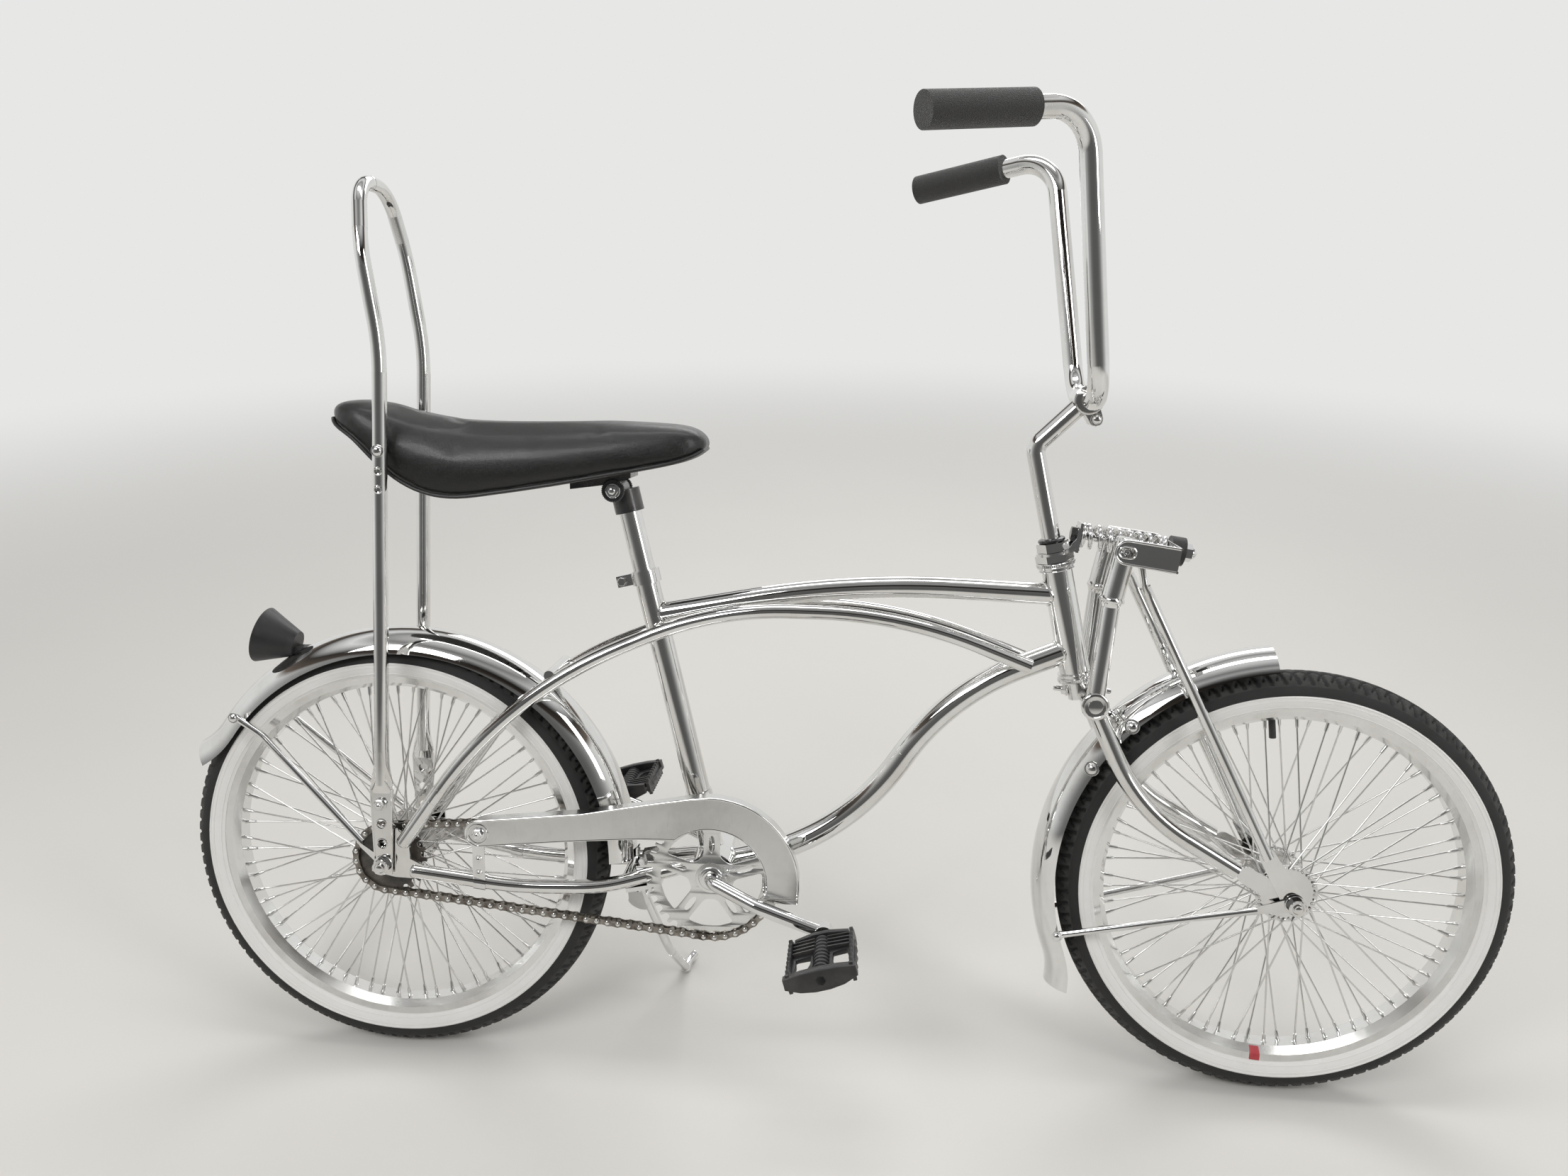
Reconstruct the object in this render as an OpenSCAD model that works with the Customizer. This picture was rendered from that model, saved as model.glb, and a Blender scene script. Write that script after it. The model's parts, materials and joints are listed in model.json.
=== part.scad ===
// Lowrider chopper bicycle, parked on its side stand.
// The bicycle is drawn upright: X runs forward from the rear axle, Y to the rider's left and
// Z up from the ground. It is then leaned to the left about the line where the tyres stand.

/* [Wheels] */
// Outer radius of a tyre
wheel_r = 254; // [245:1:260]
// Width of a tyre
tyre_w = 52; // [48:1:56]
// Thickness of a tyre's wall
tyre_wall = 4; // [3:0.5:6]
// Radius at which the white sidewall ends and the black shoulder begins
white_r = 231; // [226:1:236]
// Radius of the rim at its lip
rim_lip_r = 214; // [212:1:216]
// Depth of the rim from its lip to the spokes
rim_depth = 14; // [12:1:17]
// Spokes in one wheel, a multiple of four
spoke_count = 72; // [36:4:72]
// Diameter of a spoke
spoke_d = 2; // [1.6:0.1:2.4]
// Distance from axle to axle
wheelbase = 1038; // [1020:2:1060]

/* [Hubs] */
// Radius of a hub's perforated flange
flange_r = 34; // [32:1:38]
// Distance between the flanges of a hub
flange_gap = 54; // [50:1:58]
// Thickness of a flange
flange_t = 2.5; // [2:0.5:3]
// Diameter of an axle
axle_d = 9.5; // [8:0.5:10]
// Clearance round an axle inside its hub
axle_gap = 0.4; // [0.3:0.1:0.8]
// Width over the locknuts of the front hub
front_hub_w = 98; // [94:1:102]
// Width over the locknuts of the rear hub
rear_hub_w = 113; // [110:1:116]

/* [Frame] */
// Forward distance from the rear axle to the crank axis
crank_x = 381; // [378:1:384]
// Height of the crank axis
crank_z = 246; // [244:1:250]
// Diameter of the seat tube
seat_tube_d = 28; // [26:1:30]
// Diameter of the top tube
top_tube_d = 25; // [22:1:28]
// Diameter of the down tube
down_tube_d = 28.6; // [26:0.2:31]
// Diameter of the twin tubes that run from the head to the rear axle
twin_tube_d = 17; // [15:1:18]
// Diameter of the head tube
head_tube_d = 34; // [32:1:36]
// Backward tilt of the steering axis from upright
head_tilt = 13; // [11:0.5:15]
// Forward distance from the rear axle to the steering axis at axle height
steer_x = 846.8; // [842:0.5:852]
// Thickness of a rear dropout plate
dropout_t = 4; // [3:0.5:5]

/* [Seat] */
// Diameter of the seat post
seat_post_d = 25.4; // [22:0.2:25.4]
// Half width of the banana seat at its widest
seat_half_w = 53; // [46:1:54]

/* [Sissy bar] */
// Diameter of the bar behind the seat
sissy_d = 16; // [14:1:17]
// Height of the bar's top
sissy_top_z = 1021; // [980:1:1060]

/* [Fork] */
// Half of the distance between the tops of the two main fork legs
leg_y = 43; // [41:1:46]
// Half of the distance between the lower ends of the fork legs
leg_low_y = 52; // [50:1:54]
// Diameter of a main fork leg
leg_d = 21; // [19:1:23]
// Diameter of the upper end of a fork leg
leg_top_d = 25; // [23:1:26]
// Diameter of a front strut
strut_d = 12.7; // [11:0.1:14]
// Outer diameter of the spring
spring_d = 30; // [26:1:32]
// Diameter of the spring's wire
wire_d = 5; // [4:0.5:6]
// Turns of the spring
spring_turns = 8; // [6:1:9]

/* [Handlebar] */
// Diameter of the handlebar tube
bar_d = 22.2; // [20:0.2:23.8]
// Thickness of the handlebar's wall
bar_wall = 2; // [1.6:0.2:2.6]
// Diameter of a grip
grip_d = 34; // [30:1:38]
// Diameter of the stem
stem_d = 21.1; // [20:0.1:22.2]

/* [Drive] */
// Teeth of the chainring, a multiple of twelve
ring_teeth = 36; // [36:12:36]
// Teeth of the rear sprocket
cog_teeth = 20; // [18:1:20]
// Distance between two chain rollers
chain_pitch = 12.7; // [12.7:0.1:12.8]
// Distance of the chain from the middle of the bicycle
chain_y = 44; // [43.5:0.5:44.5]
// Distance from the crank axis to a pedal's axis
crank_len = 140; // [127:1:142]
// Width of a pedal
pedal_w = 92; // [80:1:100]
// Length of a pedal
pedal_len = 80; // [70:1:84]

/* [Parking] */
// Angle by which the bicycle leans on its stand
lean = 11; // [9:0.5:12]
// Angle by which the front wheel is turned to the right
rest_steer = 2.5; // [0:0.5:4]

/* [Hidden] */
$fn = 48;

// Middle of the parked bicycle's box, which becomes the origin
middle_x = 519;
middle_y = 138.9;

// Tyre, rim and hub
tyre_r = tyre_w / 2;
core_r = wheel_r - tyre_r;
rim_t = 2.5;
rim_half_w = 20.5;
rim_bed_half_w = 10;
rim_in_r = rim_lip_r - rim_depth;
hole_ring_r = flange_r - 3.5;
hub_shell_r = 17;
spoke_tilt = 30;
valve_angle = 97.5;

// Axle ends, from the hub outward
front_half = front_hub_w / 2;
rear_half = rear_hub_w / 2;
plate_t = 3;
eye_t = 2;
nut_t = 9;
seat_gap = 0.3;

// Steering axis and what is stacked on top of the head tube, as distances from its top
axis_dir = [-sin(head_tilt), 0, cos(head_tilt)];
function on_axis(z) = [steer_x - (z - wheel_r) * tan(head_tilt), 0, z];
head_low = on_axis(496);
head_top = on_axis(613);
steerer_r = stem_d / 2 + 2;
cup_h = 10;
cone_h = 8;
perch_t = 3;
locknut_h = 10;
cone_s = cup_h + 0.3;
perch_s = cone_s + cone_h;
locknut_s = perch_s + perch_t + 0.3;
steerer_s = locknut_s + locknut_h - 3;

// Crank
crank_at = [crank_x, 0, crank_z];
shell_r = 27;
shell_half_w = 34;
crank_angle = -18.5;

// Frame tubes, as corner points with the bend radius at each inner corner
seat_tube_top = [295, 0, 600];
top_tube_path = [[306, 0, 547], [533, 0, 591.6], [760, 0, 584.5]];
top_tube_bends = [0, 1100, 0];
down_tube_path = [[790, 0, 524.3], [649.3, 0, 465.2], [532.6, 0, 284.3], [385, 0, 246.5]];
down_tube_bends = [0, 290, 290, 0];
twin_y = down_tube_d / 2 + twin_tube_d / 2 + 0.2;
stay_end_y = rear_half + dropout_t / 2;
twin_path = [
    [737, -twin_y, 504.5], [591, -twin_y, 560], [384, -twin_y, 560], [295, -twin_y, 522.5],
    [147, -47, 460.3], [62, -stay_end_y, 337], [22, -stay_end_y, 279]
];
twin_bends = [0, 520, 400, 200, 480, 200, 0];
chainstay_path = [[362, -16, 251], [250, -41.6, 227], [150, -48.5, 227], [34, -stay_end_y, 245]];
chainstay_bends = [0, 220, 400, 0];

function unit(v) = v / norm(v);
function sum(v, n) = n < 0 ? 0 : v[n] + sum(v, n - 1);
function flip_y(v) = [v[0], -v[1], v[2]];
function lerp(a, b, t) = a + (b - a) * t;

// The turned front wheel would stand this much clear of the ground, so the nose comes down
nose_drop = 1.1;
nose_turn = atan(nose_drop / wheelbase);

// The point of the upright bicycle that comes to stand at a point of the parked one
function upright(p) =
    let (
        y = p[1] * cos(lean) - (p[2] - tyre_r) * sin(lean),
        z = p[1] * sin(lean) + (p[2] - tyre_r) * cos(lean)
    )
        [p[0] * cos(nose_turn) - z * sin(nose_turn), y, p[0] * sin(nose_turn) + z * cos(nose_turn) + tyre_r];

module park() {
    translate([-middle_x, -middle_y, 0])
        translate([0, 0, tyre_r])
            rotate([-lean, 0, 0])
                rotate([0, nose_turn, 0])
                    translate([0, 0, -tyre_r])
                        children();
}

// Turns what the fork carries about the steering axis
module steered() {
    park()
        translate([steer_x, 0, wheel_r])
            rotate([0, -head_tilt, 0])
                rotate([0, 0, -rest_steer])
                    rotate([0, head_tilt, 0])
                        translate([-steer_x, 0, -wheel_r])
                            children();
}

// Draws its children and their mirror image on the other side of the bicycle
module both_sides() {
    children();
    mirror([0, 1, 0]) children();
}

// Puts a piece made along Z at a point, pointing along a direction
module aim(at, dir) {
    d = unit(dir);
    translate(at)
        rotate([0, acos(d[2]), atan2(d[1], d[0])])
            children();
}

module bar(a, b, r) {
    aim(a, b - a) cylinder(r = r, h = norm(b - a));
}

// Disc or ring across the bicycle, from one side distance to another
module across(x, z, y0, y1, r) {
    translate([x, y0, z]) rotate([-90, 0, 0]) cylinder(r = r, h = y1 - y0);
}

// Revolves a profile drawn as [radius, side distance] about a wheel's axle
module about_axle(x) {
    translate([x, 0, wheel_r]) rotate([90, 0, 0]) rotate_extrude($fn = 96) children();
}

// Flat plate cut from an outline in the bicycle's side view
module side_plate(y, t) {
    translate([0, y, 0]) rotate([90, 0, 0]) linear_extrude(t) children();
}

// Where a bend begins and ends, measured back along both straight lines
function bend_cut(p, bends, i) =
    i == 0 || i == len(p) - 1
        ? 0
        : bends[i] * tan(acos(unit(p[i] - p[i - 1]) * unit(p[i + 1] - p[i])) / 2);

// Round tube along corner points, with a true arc at each inner corner. The arcs are thinner by
// a hair, and the straight lengths reach a little way over them.
arc_step = 0.15;
arc_lap = 1;
module bent_tube(p, bends, r) {
    last = len(p) - 1;
    for (i = [0 : last - 1]) {
        d = unit(p[i + 1] - p[i]);
        lap_a = i == 0 ? 0 : arc_lap;
        lap_b = i == last - 1 ? 0 : arc_lap;
        bar(p[i] + d * (bend_cut(p, bends, i) - lap_a), p[i + 1] - d * (bend_cut(p, bends, i + 1) - lap_b), r);
    }
    for (i = [1 : last - 1]) {
        d1 = unit(p[i] - p[i - 1]);
        d2 = unit(p[i + 1] - p[i]);
        inward = unit(d2 - d1 * (d1 * d2));
        normal = cross(d1, inward);
        centre = p[i] - d1 * bend_cut(p, bends, i) + inward * bends[i];
        multmatrix([
            [-inward[0], d1[0], -normal[0], centre[0]],
            [-inward[1], d1[1], -normal[1], centre[1]],
            [-inward[2], d1[2], -normal[2], centre[2]],
            [0, 0, 0, 1]
        ])
            rotate_extrude(angle = acos(d1 * d2), $fn = 96)
                translate([bends[i], 0])
                    circle(r = r - arc_step);
    }
}

// Solid outlines of the tubes, used to cut the ends of the tubes that meet them
module head_solid() { bar(head_low, head_top, head_tube_d / 2); }
module seat_tube_solid() { bar(crank_at, seat_tube_top, seat_tube_d / 2); }
module shell_solid() { across(crank_x, crank_z, -shell_half_w, shell_half_w, shell_r); }
module down_solid() { bent_tube(down_tube_path, down_tube_bends, down_tube_d / 2); }

module head_tube() {
    color("silver") difference() {
        head_solid();
        bar(head_low - axis_dir, head_top + axis_dir, head_tube_d / 2 - 2);
    }
}

module top_tube() {
    color("silver") difference() {
        bent_tube(top_tube_path, top_tube_bends, top_tube_d / 2);
        head_solid();
        seat_tube_solid();
    }
}

module down_tube() {
    color("silver") difference() {
        down_solid();
        head_solid();
        shell_solid();
    }
}

module seat_tube() {
    color("silver") difference() {
        seat_tube_solid();
        shell_solid();
        down_solid();
        bar(seat_tube_top - unit(seat_tube_top - crank_at) * 60,
            seat_tube_top + unit(seat_tube_top - crank_at), seat_post_d / 2);
    }
}

module twin_tubes() {
    color("silver") difference() {
        both_sides() bent_tube(twin_path, twin_bends, twin_tube_d / 2);
        dropout_plates();
    }
}

module chainstays() {
    color("silver") difference() {
        both_sides() bent_tube(chainstay_path, chainstay_bends, twin_tube_d / 2);
        shell_solid();
        dropout_plates();
    }
}

module bottom_bracket_shell() {
    color("silver") difference() {
        shell_solid();
        across(crank_x, crank_z, -shell_half_w - 1, shell_half_w + 1, shell_r - 3);
    }
}

// Dropout plate with its slot open to the rear
module dropout_outline() {
    difference() {
        polygon([
            [-16, wheel_r - 11], [-16, wheel_r + 12], [2, wheel_r + 30], [14, wheel_r + 42],
            [29, wheel_r + 32], [30, wheel_r + 6], [46, wheel_r - 2], [42, wheel_r - 18],
            [12, wheel_r - 17]
        ]);
        translate([-30, wheel_r - axle_d / 2 - 0.2]) square([30, axle_d + 0.4]);
        translate([0, wheel_r]) circle(d = axle_d + 0.4);
    }
}

module dropout_plates() {
    both_sides() side_plate(-rear_half, dropout_t) dropout_outline();
}

module rear_dropouts() {
    color("silver") dropout_plates();
}

// Cross tubes between the stays, each with the tab or bolt that holds the rear fender
seat_bridge_at = [192, 0, 479.5];
low_bridge_at = [277, 0, 232.8];
module stay_bridges() {
    color("silver") difference() {
        union() {
            bar(seat_bridge_at - [0, 39, 0], seat_bridge_at + [0, 39, 0], 6);
            bar(seat_bridge_at, lerp(seat_bridge_at, rear_fender_at,
                1 - (rear_crown_r + seat_gap) / norm(seat_bridge_at - rear_fender_at)), 5);
            bar(low_bridge_at - [0, 36, 0], low_bridge_at + [0, 36, 0], 5);
            translate([rear_fender_at[0] + rear_crown_r + 0.3, -9, low_bridge_at[2] - 5]) cube([2, 18, 34]);
            translate([low_bridge_at[0], -9, low_bridge_at[2] - 5]) cube([9, 18, 3]);
        }
        both_sides() bent_tube(twin_path, twin_bends, twin_tube_d / 2);
        both_sides() bent_tube(chainstay_path, chainstay_bends, twin_tube_d / 2);
    }
}

// Puts a piece on the steering axis at a distance above the head tube's top
module on_head(s) {
    translate(head_top) rotate([0, -head_tilt, 0]) translate([0, 0, s]) children();
}

module headset_cups() {
    head_len = norm(head_top - head_low);
    color("silver") {
        difference() {
            union() {
                on_head(0) cylinder(r = 19, h = cup_h / 2);
                on_head(cup_h / 2) cylinder(r = 21, h = cup_h / 2);
            }
            on_head(-1) cylinder(r = steerer_r + 1, h = cup_h + 2);
        }
        difference() {
            union() {
                on_head(-head_len - cup_h / 2) cylinder(r = 19, h = cup_h / 2);
                on_head(-head_len - cup_h) cylinder(r = 20, h = cup_h / 2);
            }
            on_head(-head_len - cup_h - 1) cylinder(r = steerer_r + 1, h = cup_h + 2);
        }
    }
}

module bearing_cups() {
    color("silver") both_sides() difference() {
        across(crank_x, crank_z, shell_half_w, shell_half_w + 3.7, shell_r);
        across(crank_x, crank_z, shell_half_w - 1, shell_half_w + 5, 11);
    }
}

seat_dir = unit(seat_tube_top - crank_at);
post_top = seat_tube_top + seat_dir * 92;

module seat_clamp() {
    color("silver") difference() {
        union() {
            bar(seat_tube_top - seat_dir * 16, seat_tube_top - seat_dir, seat_tube_d / 2 + 3);
            translate(seat_tube_top - seat_dir * 8)
                rotate([0, atan2(seat_dir[0], seat_dir[2]), 0])
                    translate([-seat_tube_d / 2 - 8, 0, 0])
                        cube([22, 14, 13], center = true);
        }
        seat_tube_solid();
    }
}

module seat_post() {
    color("silver") bar(seat_tube_top - seat_dir * 59, post_top, seat_post_d / 2);
}

// Cast clamp that holds the seat on its post, with the plate that the seat sits on
module seat_bracket() {
    color([0.1, 0.1, 0.1]) difference() {
        union() {
            bar(post_top - seat_dir * 24, post_top + seat_dir * 2, seat_post_d / 2 + 4);
            across(post_top[0] - 9, 691.5, -21, 21, 11.5);
            side_plate(22, 44) polygon([[215, 699.4], [260, 708], [284, 712.5], [284, 706], [258, 698], [215, 692]]);
        }
        bar(post_top - seat_dir * 30, post_top, seat_post_d / 2);
    }
}

// Seat sections: distance forward, half width as a share, top, bottom
seat_rows = [
    [-58, 0.30, 779, 768], [-46, 0.68, 786, 757], [-22, 0.90, 788, 742], [4, 0.95, 783, 717],
    [32, 0.97, 775, 696], [62, 1.00, 769, 684], [95, 1.00, 765, 681], [140, 1.00, 764, 687],
    [200, 0.98, 765, 697], [260, 0.94, 767, 708.5], [310, 0.88, 768, 718], [340, 0.80, 767, 725],
    [358, 0.64, 762, 732], [369, 0.40, 752, 740]
];
// Half of a seat section: share of the width, share of the height
seat_shape = [[0.90, 0], [1, 0.12], [0.99, 0.5], [0.90, 0.76], [0.66, 0.92], [0.34, 0.99]];
function seat_ring(row) = concat(
    [for (s = seat_shape) [row[0], s[0] * row[1] * seat_half_w, lerp(row[3], row[2], s[1])]],
    [for (i = [len(seat_shape) - 1 : -1 : 0])
        [row[0], -seat_shape[i][0] * row[1] * seat_half_w, lerp(row[3], row[2], seat_shape[i][1])]]
);

// Closed solid through rings of points that all have the same count
module skin(rings) {
    n = len(rings[0]);
    m = len(rings);
    polyhedron(
        points = [for (ring = rings) each ring],
        faces = concat(
            [[for (i = [0 : n - 1]) i]],
            [[for (i = [n - 1 : -1 : 0]) (m - 1) * n + i]],
            [for (j = [0 : m - 2], i = [0 : n - 1])
                [j * n + i, (j + 1) * n + i, (j + 1) * n + (i + 1) % n]],
            [for (j = [0 : m - 2], i = [0 : n - 1])
                [j * n + i, (j + 1) * n + (i + 1) % n, j * n + (i + 1) % n]]
        )
    );
}

module banana_seat() {
    color([0.06, 0.06, 0.06]) skin([for (row = seat_rows) seat_ring(row)]);
}

// Sissy bar: flattened straps at the axle, straight legs and a narrow arch
sissy_y = rear_half + dropout_t + eye_t + plate_t / 2 + 0.5;
sissy_path = [
    [2, -sissy_y, 352], [20, -sissy_y, 845], [4, -sissy_y, 948], [-6, -38, sissy_top_z],
    [-6, 38, sissy_top_z], [4, sissy_y, 948], [20, sissy_y, 845], [2, sissy_y, 352]
];
sissy_bends = [0, 300, 120, 42, 42, 120, 300, 0];

module sissy_bar() {
    color("silver") {
        bent_tube(sissy_path, sissy_bends, sissy_d / 2);
        both_sides() difference() {
            side_plate(-sissy_y + plate_t / 2, plate_t)
                polygon([[-10, wheel_r - 12], [-12, 345], [-6, 362], [10, 362], [15, 345], [10, wheel_r - 12]]);
            for (z = [wheel_r, 280, 304, 328])
                across(0, z, -sissy_y - 5, -sissy_y + 5, axle_d / 2 + 0.1);
        }
    }
}

module sissy_bolts() {
    color("silver") both_sides() difference() {
        across(15.6, 733, -sissy_y - sissy_d / 2 - 4, -seat_half_w * 0.96 - seat_gap, 4);
        bent_tube(sissy_path, sissy_bends, sissy_d / 2);
    }
}

// Fender section: an arc of sheet, drawn at its distance from the axle
fender_t = 1.6;
fender_arc_r = 34;
module fender_section(crown_r, depth, inset = 0) {
    intersection() {
        translate([crown_r - fender_arc_r, 0]) difference() {
            circle(r = fender_arc_r - inset, $fn = 64);
            circle(r = fender_arc_r - fender_t + inset, $fn = 64);
        }
        translate([crown_r - depth + inset, -fender_arc_r - 1]) square([depth + 1, 2 * fender_arc_r + 2]);
    }
}

// Fender about its own centre from one angle to another, ending in a flared tail that is thinner
// by a hair, so that the main arc laps it
tail_turn = 26;
tail_step = 0.2;
module fender(centre, crown_r, depth, start, stop, flare_r) {
    translate(centre) rotate([90, 0, 0]) {
        rotate([0, 0, start])
            rotate_extrude(angle = stop - start + 0.1, $fn = 128)
                fender_section(crown_r, depth);
        rotate([0, 0, stop])
            translate([crown_r + flare_r, 0, 0])
                rotate([0, 0, 180 - tail_turn])
                    rotate_extrude(angle = tail_turn, $fn = 128)
                        translate([flare_r + crown_r, 0])
                            mirror([1, 0])
                                fender_section(crown_r, depth, tail_step);
    }
}

rear_fender_at = [13, 0, 252];
rear_crown_r = 272.5;
module rear_fender() {
    color("silver") fender(rear_fender_at, rear_crown_r, 27, 0, 146, 90);
}

stay_r = 4;
rear_eye_y = rear_half + dropout_t + eye_t / 2;
module rear_fender_stays() {
    color("silver") both_sides() {
        bent_tube([[-26, -rear_eye_y, 279], [-150, -38.8, 396], [-182, -38.2, 417]], [0, 60, 0], stay_r);
        side_plate(-rear_eye_y + eye_t / 2, eye_t) difference() {
            union() {
                translate([0, wheel_r]) circle(r = 9);
                polygon([[-5, wheel_r + 8], [-32, 281], [-28, 273], [-9, wheel_r]]);
            }
            translate([0, wheel_r]) circle(d = axle_d + 0.2);
        }
    }
}

// Reflector behind the fender's crown
lens_r = 30;
lens_t = 4;
reflector_at = [-121, 0, 498];
reflector_dir = [-36, 0, 9];
reflector_len = 42;
module reflector_housing() {
    color([0.08, 0.08, 0.08]) difference() {
        union() {
            aim(reflector_at, reflector_dir) cylinder(r1 = 15, r2 = lens_r + 3, h = reflector_len);
            translate([-127, -8, 474]) cube([24, 16, 22]);
        }
        aim(reflector_at, reflector_dir) translate([0, 0, reflector_len - lens_t + 1]) cylinder(r = lens_r, h = lens_t);
        translate(rear_fender_at) rotate([90, 0, 0]) rotate_extrude($fn = 128)
            translate([rear_crown_r - fender_arc_r, 0]) circle(r = fender_arc_r + 0.2, $fn = 64);
        translate(rear_fender_at) rotate([90, 0, 0]) cylinder(r = rear_crown_r - 10, h = 80, center = true);
    }
}

module reflector_lens() {
    color("red") aim(reflector_at, reflector_dir) translate([0, 0, reflector_len - lens_t + 1]) cylinder(r = lens_r, h = lens_t);
}

// Chain guard
guard_y = 60;
guard_t = 1.6;
guard_out_r = 103;
guard_in_r = 65;
module guard_outline() {
    difference() {
        union() {
            intersection() {
                translate([crank_x, crank_z]) circle(r = guard_out_r, $fn = 96);
                translate([crank_x - 20, crank_z - 16]) square([130, 130]);
            }
            polygon([[112, 279], [232, 291], [300, 296], [crank_x, 296], [crank_x, crank_z + guard_out_r],
                [360, crank_z + guard_out_r - 2], [232, 324], [112, 311]]);
            translate([112, 295]) circle(r = 16);
        }
        translate([crank_x, crank_z]) circle(r = guard_in_r, $fn = 96);
        translate([crank_x - 100, crank_z - 120]) square([100, 140]);
    }
}

module chain_guard() {
    color("silver") {
        side_plate(-guard_y, guard_t) guard_outline();
        side_plate(-guard_y + 14, 14) difference() {
            guard_outline();
            offset(delta = -guard_t) guard_outline();
            translate([0, 100]) square([crank_x, 195]);
            translate([crank_x, crank_z]) circle(r = guard_out_r - 10, $fn = 96);
            translate([80, 270]) square([30, 60]);
            translate([100, 270]) square([260, 30]);
        }
    }
}

// Band round a chainstay, on the side that is +1 for left and -1 for right
function on_stay(x, side) =
    let (a = chainstay_path[2], b = chainstay_path[3], p = lerp(a, b, (a[0] - x) / (a[0] - b[0])))
        [p[0], -side * p[1], p[2]];
module stay_band(x, side) {
    bar(on_stay(x - 7, side), on_stay(x + 7, side), twin_tube_d / 2 + 1.5);
}
module chainstay_hole() {
    both_sides() bent_tube(chainstay_path, chainstay_bends, twin_tube_d / 2 + 0.1);
}

// Guard brackets: a strap up from a band on the chainstay and a tab from a band on the seat tube
band_at = [crank_x, 0, crank_z] + seat_dir * 86;
guard_bolt_x = 111;
module guard_brackets() {
    color("silver") {
        difference() {
            union() {
                stay_band(guard_bolt_x, -1);
                side_plate(-guard_y + guard_t, 1.5)
                    translate([guard_bolt_x - 7, on_stay(guard_bolt_x, -1)[2]]) square([14, 66]);
            }
            chainstay_hole();
        }
        difference() {
            union() {
                bar(band_at - seat_dir * 6, band_at + seat_dir * 6, seat_tube_d / 2 + 2);
                translate([band_at[0] - 6, -guard_y + 0.1, band_at[2] - 1]) cube([12, guard_y - seat_tube_d / 2, 2]);
            }
            seat_tube_solid();
        }
    }
}

// Chain
function pitch_r(teeth) = chain_pitch / (2 * sin(180 / teeth));
ring_r = pitch_r(ring_teeth);
cog_r = pitch_r(cog_teeth);
roller_r = 3.9;
axle_dist = norm([crank_x, crank_z - wheel_r]);
run_tilt = atan2(crank_z - wheel_r, crank_x);
run_flare = asin((ring_r - cog_r) / axle_dist);
ring_wrap = ring_teeth / 2 + 1;
ring_first = 90 + run_tilt + run_flare;
cog_wrap = floor((180 - 2 * run_flare) * cog_teeth / 360);
cog_first = 90 + run_tilt + run_flare + ((180 - 2 * run_flare) - cog_wrap * 360 / cog_teeth) / 2;
function ring_pin(i) = [crank_x, crank_z]
    + ring_r * [cos(ring_first - i * 360 / ring_teeth), sin(ring_first - i * 360 / ring_teeth)];
function cog_pin(i) = [0, wheel_r]
    + cog_r * [cos(cog_first + (cog_wrap - i) * 360 / cog_teeth), sin(cog_first + (cog_wrap - i) * 360 / cog_teeth)];
run_links = round(norm(ring_pin(0) - cog_pin(cog_wrap)) / chain_pitch);
chain_pins = concat(
    [for (i = [0 : ring_wrap]) ring_pin(i)],
    [for (i = [1 : run_links - 1]) lerp(ring_pin(ring_wrap), cog_pin(0), i / run_links)],
    [for (i = [0 : cog_wrap]) cog_pin(i)],
    [for (i = [1 : run_links - 1]) lerp(cog_pin(cog_wrap), ring_pin(0), i / run_links)]
);

// Side outline of one link plate: round at both pins and narrower between them
link_round = 4.1;
link_waist = 3.1;
function link_outline(reach) = concat(
    [[0, -link_waist]],
    [for (a = [-90 : 45 : 90]) [reach / 2 + link_round * cos(a), link_round * sin(a)]],
    [[0, link_waist]],
    [for (a = [90 : 45 : 270]) [-reach / 2 + link_round * cos(a), link_round * sin(a)]]
);

plate_thick = 1.2;
inner_gap = 2.5;
module chain() {
    n = len(chain_pins);
    color([0.25, 0.22, 0.2]) for (i = [0 : n - 1]) {
        a = chain_pins[i];
        b = chain_pins[(i + 1) % n];
        c = (a + b) / 2;
        inside = inner_gap + (i % 2) * (plate_thick + 0.1);
        translate([c[0], -chain_y, c[1]]) rotate([90, -atan2(b[1] - a[1], b[0] - a[0]), 0])
            for (s = [inside, -inside - plate_thick])
                translate([0, 0, s]) linear_extrude(plate_thick) polygon(link_outline(norm(b - a)));
        across(a[0], a[1], -chain_y - 5, -chain_y + 5, 2.3, $fn = 16);
        across(a[0], a[1], -chain_y - 2.6, -chain_y + 2.6, roller_r, $fn = 16);
    }
}

// Toothed disc in the side view: a circle with a flared notch for each chain roller
tooth_h = 3.4;
module tooth_outline(teeth, first, hole_r) {
    seat_r = roller_r + 0.2;
    difference() {
        circle(r = pitch_r(teeth) + tooth_h, $fn = 96);
        for (i = [0 : teeth - 1])
            rotate([0, 0, first + i * 360 / teeth]) translate([pitch_r(teeth), 0]) {
                circle(r = seat_r, $fn = 16);
                polygon([[0, -seat_r], [5, -seat_r - 1], [5, seat_r + 1], [0, seat_r]]);
            }
        circle(r = hole_r);
    }
}

module rear_sprocket() {
    color([0.2, 0.2, 0.2])
        translate([0, -chain_y + 1, wheel_r]) rotate([90, 0, 0]) linear_extrude(2)
            tooth_outline(cog_teeth, cog_first, 11.5);
}

module chainring() {
    color("silver")
        translate([crank_x, -chain_y + 1.2, crank_z]) rotate([90, 0, 0]) linear_extrude(2.4) difference() {
            tooth_outline(ring_teeth, ring_first, 10);
            for (i = [0 : 4]) rotate([0, 0, 36 + 72 * i]) difference() {
                intersection() {
                    circle(r = 60);
                    polygon([[24, 0], [66, -34], [66, 34]]);
                }
                circle(r = 24);
            }
        }
}

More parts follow.
